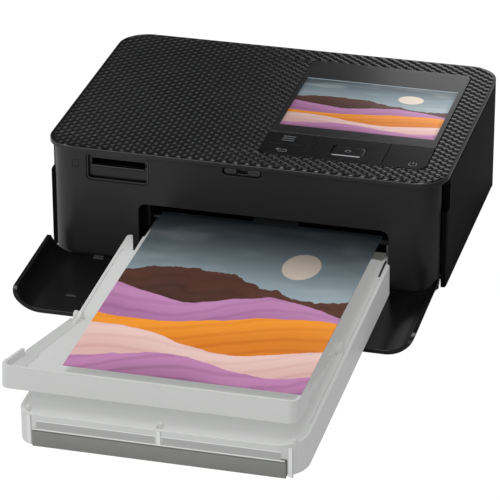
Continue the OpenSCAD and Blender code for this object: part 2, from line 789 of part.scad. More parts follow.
module ok_key() color("#2c2d30") {
  slab(key_z - 0.2, body_h - 0.05)
    rr(ok_x - ok_w / 2, ok_y - ok_d / 2, ok_x + ok_w / 2, ok_y + ok_d / 2, 2);
  translate([ok_x, ok_y, plunger_z]) cylinder(h = key_z - 0.2 - plunger_z + EPS, r = 1.4);
}

module power_key() color("#333437") {
  key_cap(power_x0, panel_y0, panel_x1, key_y1, [(power_x0 + panel_x1) / 2], 0.3, panel_r - key_gap);
}

module key_board() color("#1f5a3c") {
  slab(board_top - board_t, board_top)
    rr(panel_x0 + 0.6, board_bosses[0] - 1.9, panel_x1 - 0.6, board_bosses[1] + 1.8, 1);
  xm = panel_x0 + menu_w / 2;
  for (y = [panel_y0 + 6, key_y1 - 6]) dome(xm, y);
  for (p = pad_spots) dome(p[0], p[1]);
  dome(ok_x, ok_y);
  // Posts that the pad's ring rocks on
  for (s = [-1, 1]) translate([ok_x + s * ring_post_x, ok_y, board_top - EPS])
    cylinder(h = ring_z - board_top - 0.02 + EPS, r = 0.45);
  // Post that the left key rocks on
  translate([xm, (panel_y0 + key_y1) / 2, board_top - EPS])
    cylinder(h = key_pin_z - key_pin_r - board_top - 0.04 + EPS, r = 1.2);
  dome((power_x0 + panel_x1) / 2, (panel_y0 + key_y1) / 2);
}

module dome(x, y) {
  translate([x, y, board_top - EPS]) cylinder(h = dome_h, r = 1.5);
}

// ---------- chassis and print engine ----------
module plate_outline() {
  polygon([[nose_in + 3, floor_z], [plate_back, floor_z], [plate_back, plate_top],
    [fascia_in + reader_d + 1, plate_top], [fascia_in + reader_d + 1, card_z0 + 1.6],
    [pickup_y - 6, card_z0 + 1.6], [pickup_y - 6, arm_low], [nose_in + 3, arm_low]]);
}

module bearing_holes(spots) {
  for (p = spots) translate([p[0], p[1]]) circle(p[2] + run_gap);
}

module chassis() color("#9a9da1") {
  bores = [[cap_y, cap_z, journal_r], [cap_y, pinch_z, journal_r], [platen_y, platen_z, journal_r],
    [pickup_y, pickup_z, 1.5], [head_pivot_y, head_pivot_z, 1.5]];
  // Left plate, with the take-up drive's bore
  wall_x(plate_l, plate_l + plate_t) difference() {
    plate_outline();
    bearing_holes(bores);
    bearing_holes([[takeup_y, takeup_z, 2.2], [idler_y, idler_z, 1.5]]);
  }
  // Right plate, with the ribbon cassette's window
  wall_x(plate_r, plate_r + plate_t) difference() {
    plate_outline();
    bearing_holes(bores);
    bearing_holes([[plate_back - 8, floor_z + 14, 1.5]]);
    translate([takeup_y - shell_r - 0.6, film_z + film_t + 0.8])
      square([supply_y - takeup_y + 2 * shell_r + 1.2, takeup_z + shell_r - film_z - film_t]);
  }
  // Cross members
  box(plate_l + EPS, plate_back - 6, floor_z, plate_r + 1, plate_back - 4.8, floor_z + 10);
  box(plate_l + EPS, platen_y + 12, floor_z + 4, plate_r + 1, platen_y + 13.2, floor_z + 12);
  // Feet flanges on the base pan
  for (x = [plate_l - 5, plate_r + plate_t - EPS])
    for (y = [nose_in + 6, plate_back - 18])
      box(x, y, floor_z, x + 5 + EPS, y + 12, floor_z + plate_t);
}

module paper_guide() color("#3c3d40") {
  difference() {
    slab(guide_z - 1.2, guide_z)
      rr(plate_l + plate_t + 0.1, cap_y + cap_r + 1.5, plate_r - 0.1, plate_back + 2, 0.2);
    box(roll_x0 - 1.5, platen_y - platen_r - 1, guide_z - 3, roll_x1 + 1.5, platen_y + platen_r + 1, guide_z + 1);
  }
  // Rear run to the paper slot
  box(plate_l + plate_t + 0.1, plate_back + 1, guide_z - 1.2, plate_r - 0.1, body_d - panel_t - 4.3, guide_z);
}

module capstan() color("#c3c6ca") {
  bar_x(roll_x0, roll_x1, cap_y, cap_z, cap_r);
  bar_x(gear_x - 0.5, plate_r + plate_t + 1, cap_y, cap_z, journal_r);
}

// Outline of one tooth, as radius past the pitch circle and half width, in modules
tooth = [[-1.25, -0.74], [-0.5, -0.62], [0.8, -0.28], [0.8, 0.28], [-0.5, 0.62], [-1.25, 0.74]];

// Spur gear along X with tooth 0 at angle a
module gear(teeth, x, y, z, bore, a) {
  rp = gear_m * teeth / 2;
  pts = [for (i = [0 : teeth - 1]) for (t = tooth)
    let (c = a + i * 360 / teeth, r = rp + t[0] * gear_m, w = t[1] * gear_m)
      [r * cos(c) - w * sin(c), r * sin(c) + w * cos(c)]];
  wall_x(x, x + gear_w) translate([y, z]) difference() {
    polygon(pts);
    circle(bore);
  }
}

module capstan_gear() color("#d8d4c8") {
  gear(cap_teeth, gear_x, cap_y, cap_z, journal_r, idler_a + 180 / cap_teeth);
}

module idler_gear() color("#d8d4c8") {
  gear(idler_teeth, gear_x, idler_y, idler_z, 1.5 + run_gap, idler_a + 180);
}

module idler_pin() color("#a7aaae") {
  bar_x(gear_x - 1, plate_l + plate_t + 0.6, idler_y, idler_z, 1.5);
  bar_x(gear_x - 1.6, gear_x - 0.2, idler_y, idler_z, 2.6);
}

// The idler's tooth nearest the pinion, and the pinion's gap that takes it
idler_pitch = 360 / idler_teeth;
idler_off = (idler_a + 180 - pinion_a) - idler_pitch * round((idler_a + 180 - pinion_a) / idler_pitch);

module motor_pinion() color("#c8a85a") {
  gear(pinion_teeth, gear_x, motor_y, motor_z, 1,
    pinion_a + 180 + 180 / pinion_teeth - idler_off * idler_teeth / pinion_teeth);
  bar_x(motor_x1 - 0.4, gear_x + gear_w, motor_y, motor_z, 1 + EPS);
}

module feed_motor() color("#8d9095") {
  difference() {
    bar_x(motor_x1 - motor_l, motor_x1, motor_y, motor_z, motor_r);
    bar_x(motor_x1 - 3, motor_x1 + 1, motor_y, motor_z, 1.6);
  }
  // Flange that fixes the motor to the chassis
  difference() {
    union() {
      box(motor_x1 - 1.2, motor_y, motor_z - 3.5, motor_x1 - EPS, motor_y + motor_r + 3, motor_z + 3.5);
      box(motor_x1 - 1.2, motor_y, motor_z - motor_r - 3, motor_x1 - EPS, motor_y + 6, motor_z);
    }
    bar_x(motor_x1 - 3, motor_x1 + 1, motor_y, motor_z, motor_r - 1);
  }
  bar_x(motor_x1 - 1, plate_l, motor_y + motor_r + 1.4, motor_z, 1.2);
  bar_x(motor_x1 - 1, plate_l, motor_y + 3, motor_z - motor_r - 1.4, 1.2);
}

module pinch_roller() color("#4c4e52") {
  bar_x(roll_x0, roll_x1, cap_y, pinch_z, cap_r);
  bar_x(plate_l - 0.6, plate_r + plate_t + 0.6, cap_y, pinch_z, journal_r);
}

module platen_shaft() color("#c3c6ca") {
  bar_x(roll_x0 - 1, roll_x1 + 1, platen_y, platen_z, platen_r - 3);
  bar_x(plate_l - 0.5, plate_r + plate_t + 0.6, platen_y, platen_z, journal_r);
}

module platen_sleeve() color("#26272a") {
  difference() {
    bar_x(roll_x0, roll_x1, platen_y, platen_z, platen_r);
    bar_x(roll_x0 - 1, roll_x1 + 1, platen_y, platen_z, platen_r - 3);
  }
}

module pickup_shaft() color("#c3c6ca") {
  bar_x(plate_l - 0.5, plate_r + plate_t + 0.6, pickup_y, pickup_z, 1.5);
  bar_x(path_x - 11, path_x + 11, pickup_y, pickup_z, pickup_r - 2.5);
}

module pickup_tyre() color("#26272a") {
  difference() {
    bar_x(path_x - 10, path_x + 10, pickup_y, pickup_z, pickup_r);
    bar_x(path_x - 11, path_x + 11, pickup_y, pickup_z, pickup_r - 2.5);
  }
}

// Half-round trough over a spool
module trough(y, z) {
  difference() {
    bar_x(ribbon_x0, ribbon_x1, y, z, shell_r);
    bar_x(ribbon_x0 + 1.6, ribbon_x1 - 1.6, y, z, shell_r - shell_t);
    bar_x(ribbon_x0 - 1, ribbon_x1 + 1, y, z, spool_r + run_gap);
    box(ribbon_x0 + 1.6, y - shell_r - 1, z - shell_r - 1, ribbon_x1 - 1.6, y + shell_r + 1, z - 2);
  }
}

module ribbon_case() color("#d9d9d6") {
  trough(takeup_y, takeup_z);
  trough(supply_y, supply_z);
  // End frames that join the two troughs
  for (x = [ribbon_x0, ribbon_x1 - 1.6])
    box(x, takeup_y + shell_r - 1, takeup_z - 4, x + 1.6, supply_y - shell_r + 1, takeup_z + 1);
  // Grip at the right end
  difference() {
    box(ribbon_x1 - EPS, takeup_y - 4, takeup_z - 4.5, ribbon_x1 + 4, supply_y + 4, takeup_z + 3);
    box(ribbon_x1 + 1.2, takeup_y + 2, takeup_z - 6, ribbon_x1 + 5, supply_y - 2, takeup_z + 1.5);
  }
}

module spool(y, z) {
  bar_x(ribbon_x0 + 0.2, ribbon_x1 - 0.2, y, z, spool_r);
  bar_x(ribbon_x0 + 3, path_x + paper_w / 2 + 3, y, z, ribbon_r);
}

module supply_spool() color("#b88a2c") {
  spool(supply_y, supply_z);
}

module takeup_spool() color("#5b4a86") {
  spool(takeup_y, takeup_z);
  // Drive spindle through the left plate
  bar_x(plate_l - 0.6, ribbon_x0 + 0.3, takeup_y, takeup_z, 2.2);
}

module ribbon_film() color("#6f4a7a") {
  x0 = path_x - paper_w / 2 - 1;
  x1 = path_x + paper_w / 2 + 1;
  zt = takeup_z - ribbon_r - 0.3;
  zs = supply_z - ribbon_r - 0.3;
  wall_x(x0, x1) polygon([[takeup_y, zt - film_t], [platen_y - kiss, film_z], [platen_y + kiss, film_z],
    [supply_y, zs - film_t], [supply_y, zs], [platen_y + kiss + film_t / 2, film_z + film_t],
    [platen_y - kiss - film_t / 2, film_z + film_t], [takeup_y, zt]]);
}

module head_arm() color("#9a9da1") {
  z1 = plate_top - 1.2;
  difference() {
    union() {
      box(path_x - arm_half, platen_y - head_d / 2, z1 - plate_t, path_x + arm_half, head_pivot_y + 1.5, z1);
      // Web down to the heat sink
      box(path_x - arm_half, platen_y - 1, head_z + head_t + sink_h, path_x + arm_half, platen_y + 0.4, z1);
      for (s = [-1, 1])
        bar_x(path_x + s * (arm_half - 2) - 2, path_x + s * (arm_half - 2) + 2, head_pivot_y, head_pivot_z, 3);
    }
    bar_x(path_x - head_half, path_x + head_half, head_pivot_y, head_pivot_z, 1.5 + run_gap);
  }
}

module head_pivot() color("#c3c6ca") {
  bar_x(plate_l - 0.5, plate_r + plate_t + 0.6, head_pivot_y, head_pivot_z, 1.5);
}

module heat_sink() color("#b4b8bd") {
  difference() {
    box(path_x - head_half, platen_y - sink_d / 2, head_z + head_t,
      path_x + head_half, platen_y + sink_d / 2, head_z + head_t + sink_h);
    for (i = [0 : 1])
      box(path_x - head_half - 1, platen_y - (fin_pitch + fin_gap) / 2 + i * fin_pitch, head_z + head_t + 2,
        path_x + head_half + 1, platen_y - (fin_pitch - fin_gap) / 2 + i * fin_pitch,
        head_z + head_t + sink_h + 1);
  }
}

module print_head() color("#e4e0d6") {
  box(path_x - head_half, platen_y - head_d / 2, head_z, path_x + head_half, platen_y + head_d / 2, head_z + head_t);
}

module eject_lever() color("#4c4e52") {
  y = plate_back - 8;
  z = floor_z + 14;
  difference() {
    union() {
      bar_x(plate_r + plate_t + 0.2, plate_r + plate_t + 2.2, y, z, 3.4);
      box(plate_r + plate_t + 0.2, y - 16, z - 1.5, plate_r + plate_t + 2.2, y, z + 1.5);
      box(plate_r + plate_t + 0.2, y - 18, z - 1.5, plate_r + plate_t + 5, y - 14, z + 3);
    }
    bar_x(plate_r, plate_r + 9, y, z, 1.5 + run_gap);
  }
}

module lever_pin() color("#a7aaae") {
  bar_x(plate_r - 0.6, plate_r + plate_t + 3, plate_back - 8, floor_z + 14, 1.5);
  bar_x(plate_r + plate_t + 2.4, plate_r + plate_t + 3.4, plate_back - 8, floor_z + 14, 2.6);
}

// ---------- electronics ----------
module main_board() color("#1f5a3c") {
  slab(board_z, board_z + board_t) difference() {
    rr(board_x0, board_y0, board_x1, body_d - panel_t - 2.5, 1);
    // Room for the case screw's boss
    translate([-boss_x, rear_y - 8]) circle(boss_r + 0.5);
  }
  box(board_x0 + 8, board_y0 + 8, board_z + board_t - EPS, board_x0 + 20, board_y0 + 20, board_z + board_t + 1.4);
  box(board_x1 - 12, board_y0 + 10, board_z + board_t - EPS, board_x1 - 4, board_y0 + 16, board_z + board_t + 1);
  for (i = [0 : 2]) translate([board_x0 + 6 + i * 8, board_y0 + 30, board_z + board_t - EPS]) cylinder(h = 9, r = 3);
}

module power_inlet() color("#19191a") {
  z = board_z + board_t;
  difference() {
    box(socket_x - 4.8, body_d - panel_t - 11, z, socket_x + 4.8, body_d - 0.6, z + socket_h - 0.9);
    bar_y(body_d - 9, body_d + 1, socket_x, z + socket_h / 2, 3.1);
  }
  bar_y(body_d - 9.5, body_d - 2.5, socket_x, z + socket_h / 2, 0.8);
}

module data_port() color("#a7aaae") {
  z = board_z + board_t;
  wall_y(body_d - 8.5, body_d - 0.4) difference() {
    rr(port_x - 4.8, z, port_x + 4.8, z + 3.8, 1.6);
    rr(port_x - 4.2, z + 0.6, port_x + 4.2, z + 3.2, 1.25);
  }
  wall_y(body_d - 8.5, body_d - 8) rr(port_x - 4.5, z + 0.3, port_x + 4.5, z + 3.5, 1.4);
  box(port_x - 3.2, body_d - 8.2, z + 1.55, port_x + 3.2, body_d - 1.6, z + 2.25);
}

// ---------- cassette ----------
module cass_plan(t) {
  rr4(cass_x0 + t, -cass_out + t, cass_x1 - t, cass_back - t, 8 - t, 13 - t, 1.6 - t, 1.6 - t);
}

module cassette_body() color("#c9ccd0") in_cassette() {
  front = -cass_out;
  difference() {
    union() {
      slab(0, cass_h) cass_plan(0);
      slab(0, nose_h) rr(nose_x0, slot_y, nose_x1, nose_in, 0.4);
      // The inner walls beside the slots are as high as the sides
      box(nose_x0, slot_y, cass_t - EPS, nose_x0 + cass_t, cass_back, cass_h);
      box(nose_x1 - cass_t, slot_y, cass_t - EPS, nose_x1, -1, cass_h);
    }
    // Hollow for the paper
    difference() {
      slab(cass_t, cass_h + 1) cass_plan(cass_t);
      for (x = [nose_x0, nose_x1 - cass_t])
        box(x, slot_y, cass_t - 1, x + cass_t, nose_in, cass_h + 2);
      slab(cass_t - 1, cass_h + 2)
        polygon([[cass_x0, slot_y], [nose_x0 - 0.9, slot_y], [cass_x0 + 2.5, cass_back], [cass_x0, cass_back]]);
      box(nose_x1 + slot_w, slot_y, cass_t - 1, cass_x1, cass_back, cass_h + 2);
    }
    slab(cass_t, cass_h + 1) rr(nose_x0 + cass_t, slot_y - 1, nose_x1 - cass_t, nose_in - cass_t, 0.4);
    // The slots are open at the back
    box(cass_x0 + 2.5, cass_back - 2 * cass_t, cass_t, nose_x0, cass_back + 1, cass_h + 1);
    box(nose_x1, cass_back - 2 * cass_t, cass_t, nose_x1 + slot_w, cass_back + 1, cass_h + 1);
    // Window for the grey bar
    box(cass_x0 + 6.4, front - 1, -1, cass_x1 - 6.8, front + 3.4, bar_h + 1);
    // The nose's back wall is low, for the sheets to leave over it
    box(nose_x0 + 4, nose_in - cass_t - 1, stack_z + 1.2, nose_x1 - 4, nose_in + 1, cass_h + 1);
  }
  // Inner wall on the right that the inner lid lies on
  box(cass_x1 - 4.3, front + 20, cass_t - EPS, nose_x1, slot_y, lid_z - lid_t);
  // Posts behind the front edge
  for (x = post_x)
    box(x - 0.9, front + 3.4, cass_t - EPS, x + 0.9, front + 5.2, cass_h + 1.4);
  // Cross wall behind the bar
  box(cass_x0 + 5, front + 3.4, cass_t - EPS, cass_x1 - 5, front + 4.6, bar_h + 2.4);
  // Ears for the tray's hinge
  for (x = ear_x) tray_ear(x);
}

module tray_ear(x) {
  difference() {
    union() {
      bar_x(x, x + 1.6, -tray_hinge_y, tray_z, 2.2);
      box(x, -tray_hinge_y - 2.2, cass_t - EPS, x + 1.6, -tray_hinge_y + 2.2, tray_z);
    }
    bar_x(x - 1, x + 3, -tray_hinge_y, tray_z, tray_pin_r + run_gap);
  }
}

module front_bar() color("#7d7f82") in_cassette() {
  box(cass_x0 + 6.6, -cass_out - 0.2, -0.3, cass_x1 - 7, -cass_out + 3.4, bar_h - 0.5);
}

module inner_lid() color("#d3d6d9") in_cassette() {
  x0 = cass_x0 + cass_t + lid_gap;
  x1 = cass_x1 - cass_t - lid_gap;
  y0 = -cass_out + cass_t + lid_gap;
  difference() {
    union() {
      slab(lid_z - lid_t, lid_z) {
        rr4(x0, y0, x1, slot_y - lid_gap, 6, 11, 0.5, 0.5);
        rr4(nose_x0 + cass_t + lid_gap, slot_y - 2, nose_x1 - cass_t - lid_gap, -1.3, 0, 0, 1.2, 1.2);
      }
      // Raised edge on the right
      box(x1 - 1.4, -cass_out + 20, lid_z - EPS, x1, slot_y - lid_gap, cass_h + 0.6);
    }
    // Clear of the posts and of the tray's hinge
    for (x = post_x)
      box(x - 1.3, y0 - 1, lid_z - 2, x + 1.3, -cass_out + 5.6, cass_h + 2);
    box(x0 - 1, -tray_hinge_y - 3, lid_z - 2, tray_x0 + 4.2, -tray_hinge_y + 3, cass_h + 2);
    box(tray_x1 - 2.5, -tray_hinge_y - 3, lid_z - 2, x1 + 1, -tray_hinge_y + 3, cass_h + 2);
  }
  // Feet that rest on the cassette's floor
  for (y = [-cass_out + 14, -110, -40])
    box(x0 + 0.6, y, cass_t, x0 + 1.8, y + 3, lid_z - lid_t + EPS);
}

module paper_stack() color("#f2f1ec") in_cassette() {
  box(print_x0, stack_y1 - sheet_l, stack_z, print_x0 + paper_w, stack_y1, stack_z + stack_h);
}

module lift_plate() color("#8f9296") in_cassette() {
  box(print_x0 + 2, stack_y1 - 70, stack_z - 1.1, print_x0 + paper_w - 2, stack_y1 - 1, stack_z - 0.1);
  bar_x(print_x0 - 3, print_x0 + paper_w + 0.4, stack_y1 - 70, stack_z - 1, 0.9);
}

module lift_springs() color("#a7aaae") in_cassette() {
  for (x = [path_x - 20, path_x + 20])
    box(x - 3, stack_y1 - 18, cass_t, x + 3, stack_y1 - 8, cass_t + 0.3);
}

module tray_plan(t) {
  x0 = tray_x0 + t;
  x1 = tray_x1 - t;
  xf = tray_x0 - tray_flare + t;
  y1 = -tray_l + t;
  r = tray_r - t;
  polygon([[x0, -4], [x1, -4], [x1, y1 + r], [xf, y1 + r], [xf, y1 + r + 1]]);
  rr4(xf, y1, x1, y1 + 2 * r, r, r, 0, 0);
}

module output_tray() color("#d3d6d9") {
  tray_shell();
  print_ribs();
}

module tray_shell() in_tray() {
  difference() {
    union() {
      slab(-tray_t, 0) tray_plan(0);
      // Front wall with its two returns
      slab(-tray_skirt, tray_lip) difference() {
        tray_plan(0);
        tray_plan(tray_t);
        translate([-200, -tray_l + tray_return]) square([400, 200]);
      }
      // Low skirts back to the hinge
      slab(-tray_t - 2, -EPS) difference() {
        tray_plan(0);
        tray_plan(tray_t);
        translate([-200, -20]) square([400, 200]);
        translate([-200, -tray_l - 10]) square([400, tray_return + 9]);
      }
      // Hinge arms inside the cassette's ears
      for (x = [tray_x0 + 2, tray_x1 - 2.1]) {
        bar_x(x, x + 1.8, 0, 0, 2.2);
        box(x, -10, -tray_t, x + 1.8, 0, 0.8);
      }
      // Ribs on the front wall
      for (x = [tray_x0 + 8, tray_x1 - 28, tray_x1 - 20])
        box(x, -tray_l - 0.0, -tray_skirt + 1, x + 0.6, -tray_l + tray_t + 0.8, tray_lip - 0.8);
    }
    for (x = [tray_x0, tray_x1 - 3]) bar_x(x - 1, x + 6, 0, 0, tray_pin_r);
  }
}

// Ribs on the tray's floor that the print lies on, level with the paper path
module print_ribs() {
  intersection() {
    in_tray() for (x = [print_x0 + 14, path_x, print_x0 + paper_w - 14])
      box(x - 0.6, -tray_l + 26, -tray_t / 2, x + 0.6, -tray_l + 38, 20);
    box(-body_w, -body_d * 3, 0, body_w, 0, path_z - seat);
  }
}

module tray_pins() color("#d3d6d9") in_tray() {
  bar_x(tray_x0 + 0.1, tray_x0 + 3.8, 0, 0, tray_pin_r);
  bar_x(tray_x1 - 2.1, cass_x1 - 3.1, 0, 0, tray_pin_r);
}

module print_sheet() color("#c7b6c4") {
  box(print_x0, print_y1 - print_l, path_z, print_x0 + paper_w, print_y1, path_z + print_t);
}

translate([0, y_shift, 0]) {
  base_pan();
  feet();
  front_fascia();
  top_cover();
  left_panel();
  rear_panel();
  display_glass();
  display_module();
  latch_catch();
  card_reader();
  key_board();
  chassis();
  paper_guide();
  main_board();
  power_inlet();
  data_port();
  feed_motor();
  case_screws();
  hinge_pins();
  ribbon_case();
  ribbon_film();
  supply_spool();
  takeup_spool();
  front_door();
  ink_cover();
  menu_key();
  pad_gimbal();
  nav_pad();
  ok_key();
  power_key();
  cassette_body();
  front_bar();
  inner_lid();
  paper_stack();
  lift_plate();
  lift_springs();
  output_tray();
  tray_pins();
  print_sheet();
  capstan();
  capstan_gear();
  pinch_roller();
  platen_shaft();
  platen_sleeve();
  pickup_shaft();
  pickup_tyre();
  motor_pinion();
  idler_gear();
  idler_pin();
  head_arm();
  heat_sink();
  print_head();
  head_pivot();
  eject_lever();
  lever_pin();
}
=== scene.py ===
import json
import math

import bmesh
import bpy
import numpy as np
from mathutils import Matrix, Vector


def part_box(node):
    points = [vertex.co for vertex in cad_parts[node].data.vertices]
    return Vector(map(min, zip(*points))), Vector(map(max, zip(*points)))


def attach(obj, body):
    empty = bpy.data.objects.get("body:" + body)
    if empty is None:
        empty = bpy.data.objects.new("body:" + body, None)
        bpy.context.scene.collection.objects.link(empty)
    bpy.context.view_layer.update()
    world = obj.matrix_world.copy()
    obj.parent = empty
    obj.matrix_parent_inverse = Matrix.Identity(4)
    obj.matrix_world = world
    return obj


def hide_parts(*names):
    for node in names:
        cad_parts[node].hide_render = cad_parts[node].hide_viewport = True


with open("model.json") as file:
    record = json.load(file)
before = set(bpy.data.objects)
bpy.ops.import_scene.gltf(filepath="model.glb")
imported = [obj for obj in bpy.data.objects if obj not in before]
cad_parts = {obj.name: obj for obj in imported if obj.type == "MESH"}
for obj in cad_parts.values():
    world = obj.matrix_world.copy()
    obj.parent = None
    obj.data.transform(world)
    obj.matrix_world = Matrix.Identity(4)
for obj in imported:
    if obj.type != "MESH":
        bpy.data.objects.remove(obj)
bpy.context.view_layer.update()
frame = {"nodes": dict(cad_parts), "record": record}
nodes = frame["nodes"]
body_of_node = {n: b for b, ns in frame["record"]["behaviour"]["bodies"].items() for n in ns}

MM = 0.001
# Millimetres here are counted from the case's middle, the rim's front edge and the table.
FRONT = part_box("top_cover")[0].y


def metres(p):
    """Millimetres from the rim's front edge in metres of the model: x/1000, y/1000 + front, z/1000."""
    q = np.asarray(p, float) * MM
    q[..., 1] += FRONT
    return q


def corners(node):
    """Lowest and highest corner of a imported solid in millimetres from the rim's front edge."""
    lo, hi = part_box(node)
    shift = np.array([0, FRONT, 0])
    return (np.array(lo) - shift) / MM, (np.array(hi) - shift) / MM


# ---------------------------------------------------------------- camera
AZIMUTH, ELEVATION, ROLL = 14.777, 26.534, -0.161
TARGET = (-3.745, 31.261, 0)
DISTANCE = 1.515812
SENSOR = 36
PICTURE_SIDE, FOCAL_PIXELS = 500, 3331.646


def make_camera():
    """Camera on a circle round the target: back = (sin a cos e, -cos a cos e, sin e), turned by the roll."""
    a, e, roll = math.radians(AZIMUTH), math.radians(ELEVATION), math.radians(ROLL)
    back = Vector((math.sin(a) * math.cos(e), -math.cos(a) * math.cos(e), math.sin(e)))
    right = (-back).cross(Vector((0, 0, 1))).normalized()
    up = right.cross(-back)
    r = math.cos(roll) * right + math.sin(roll) * up
    u = -math.sin(roll) * right + math.cos(roll) * up
    data = bpy.data.cameras.new("camera")
    data.sensor_width = SENSOR
    data.lens = FOCAL_PIXELS / PICTURE_SIDE * SENSOR
    cam = bpy.data.objects.new("camera", data)
    bpy.context.scene.collection.objects.link(cam)
    turn = Matrix((r, u, back)).transposed().to_4x4()
    cam.matrix_world = Matrix.Translation(Vector(metres(TARGET)) + back * DISTANCE) @ turn
    data.clip_start, data.clip_end = 0.05, 20
    bpy.context.scene.camera = cam


make_camera()


# ---------------------------------------------------------------- material building blocks
def srgb(r, g, b):
    """Display values 0 to 255 turned into linear light."""
    c = np.array([r, g, b], float) / 255
    return (*np.where(c <= 0.04045, c / 12.92, ((c + 0.055) / 1.055) ** 2.4), 1.0)


BLACK = (0, 0, 0, 1)


class Web:
    """Short hand for wiring one node tree."""

    def __init__(self, tree):
        self.tree = tree

    def node(self, kind, **props):
        n = self.tree.nodes.new(kind)
        for k, v in props.items():
            setattr(n, k, v)
        return n

    def put(self, socket, value):
        if isinstance(value, bpy.types.NodeSocket):
            self.tree.links.new(value, socket)
        else:
            socket.default_value = value

    def math(self, operation, *values, clamp=False):
        n = self.node("ShaderNodeMath", operation=operation, use_clamp=clamp)
        for s, v in zip(n.inputs, values):
            self.put(s, v)
        return n.outputs[0]

    def length(self, a, b):
        """Square root of a a + b b."""
        return self.math("SQRT", self.math("ADD", self.math("MULTIPLY", a, a), self.math("MULTIPLY", b, b)))

    def mix(self, factor, a, b, blend="MIX"):
        n = self.node("ShaderNodeMix", data_type="RGBA", blend_type=blend)
        self.put(n.inputs["Factor"], factor)
        self.put(n.inputs[6], a)
        self.put(n.inputs[7], b)
        return n.outputs[2]

    def dimmed(self, colour, share):
        """Colour times a share that is the same for red, green and blue."""
        grey = self.node("ShaderNodeCombineColor")
        for s in grey.inputs:
            self.put(s, share)
        return self.mix(1.0, colour, grey.outputs[0], "MULTIPLY")

    def step(self, value, lo, hi):
        """Smooth step of value between lo and hi."""
        n = self.node("ShaderNodeMapRange", interpolation_type="SMOOTHSTEP")
        self.put(n.inputs["Value"], value)
        n.inputs["From Min"].default_value = lo
        n.inputs["From Max"].default_value = hi
        return n.outputs["Result"]

    def ramp(self, value, lo, hi, to_lo, to_hi):
        """Straight ramp of value between lo and hi."""
        n = self.node("ShaderNodeMapRange")
        self.put(n.inputs["Value"], value)
        for k, v in (("From Min", lo), ("From Max", hi), ("To Min", to_lo), ("To Max", to_hi)):
            n.inputs[k].default_value = v
        return n.outputs["Result"]

    def split(self, vector):
        """The three parts of a vector."""
        n = self.node("ShaderNodeSeparateXYZ")
        self.put(n.inputs[0], vector)
        return n.outputs

    def mapped(self, vector, scale, shift=(0, 0, 0)):
        """Vector times a scale plus a shift."""
        n = self.node("ShaderNodeMapping")
        self.put(n.inputs["Vector"], vector)
        n.inputs["Scale"].default_value = scale
        n.inputs["Location"].default_value = shift
        return n.outputs[0]

    def noise(self, vector, scale, detail=2):
        """Soft noise from 0 to 1."""
        n = self.node("ShaderNodeTexNoise")
        self.put(n.inputs["Vector"], vector)
        self.put(n.inputs["Scale"], scale)
        n.inputs["Detail"].default_value = detail
        return n.outputs["Fac"]


def new_group(name, inputs, outputs):
    """Shader node group with named sockets: lists of (name, kind, default)."""
    g = bpy.data.node_groups.new(name, "ShaderNodeTree")
    for n, kind, default in inputs:
        s = g.interface.new_socket(n, in_out="INPUT", socket_type=kind)
        if default is not None:
            s.default_value = default
    for n, kind in outputs:
        g.interface.new_socket(n, in_out="OUTPUT", socket_type=kind)
    w = Web(g)
    return g, w, w.node("NodeGroupInput").outputs, w.node("NodeGroupOutput").inputs


def grain_group():
    """Moulded grain: fine noise for the bump, wide noise for tone and gloss."""
    g, w, given, out = new_group(
        "moulded_grain",
        [("Vector", "NodeSocketVector", None), ("Grain scale", "NodeSocketFloat", 2200.0),
         ("Colour", "NodeSocketColor", (0.5, 0.5, 0.5, 1)), ("Tone", "NodeSocketFloat", 0.06),
         ("Roughness", "NodeSocketFloat", 0.4), ("Gloss spread", "NodeSocketFloat", 0.05)],
        [("Colour", "NodeSocketColor"), ("Roughness", "NodeSocketFloat"), ("Height", "NodeSocketFloat")])
    fine = w.noise(given["Vector"], given["Grain scale"], 3)
    wide = w.noise(given["Vector"], 38)
    swing = w.math("SUBTRACT", wide, 0.5)
    tone = w.math("ADD", w.math("MULTIPLY", swing, given["Tone"]), 1.0)
    w.put(out["Colour"], w.dimmed(given["Colour"], tone))
    spread = w.math("MULTIPLY", w.math("SUBTRACT", fine, 0.5), given["Gloss spread"])
    spread = w.math("ADD", spread, w.math("MULTIPLY", swing, 0.06))
    w.put(out["Roughness"], w.math("ADD", given["Roughness"], spread))
    w.put(out["Height"], fine)
    return g


def brushed_group():
    """Brushed metal: noise stretched along X, for tone, gloss and bump."""
    g, w, given, out = new_group(
        "brushed_lines",
        [("Vector", "NodeSocketVector", None), ("Colour", "NodeSocketColor", (0.6, 0.6, 0.6, 1)),
         ("Roughness", "NodeSocketFloat", 0.3)],
        [("Colour", "NodeSocketColor"), ("Roughness", "NodeSocketFloat"), ("Height", "NodeSocketFloat")])
    lines = w.noise(w.mapped(given["Vector"], (60, 2400, 2400)), 1)
    dark = w.mix(0.35, given["Colour"], (0.05, 0.05, 0.05, 1))
    w.put(out["Colour"], w.mix(lines, dark, given["Colour"]))
    spread = w.math("MULTIPLY", w.math("SUBTRACT", lines, 0.5), 0.2)
    w.put(out["Roughness"], w.math("ADD", given["Roughness"], spread))
    w.put(out["Height"], lines)
    return g


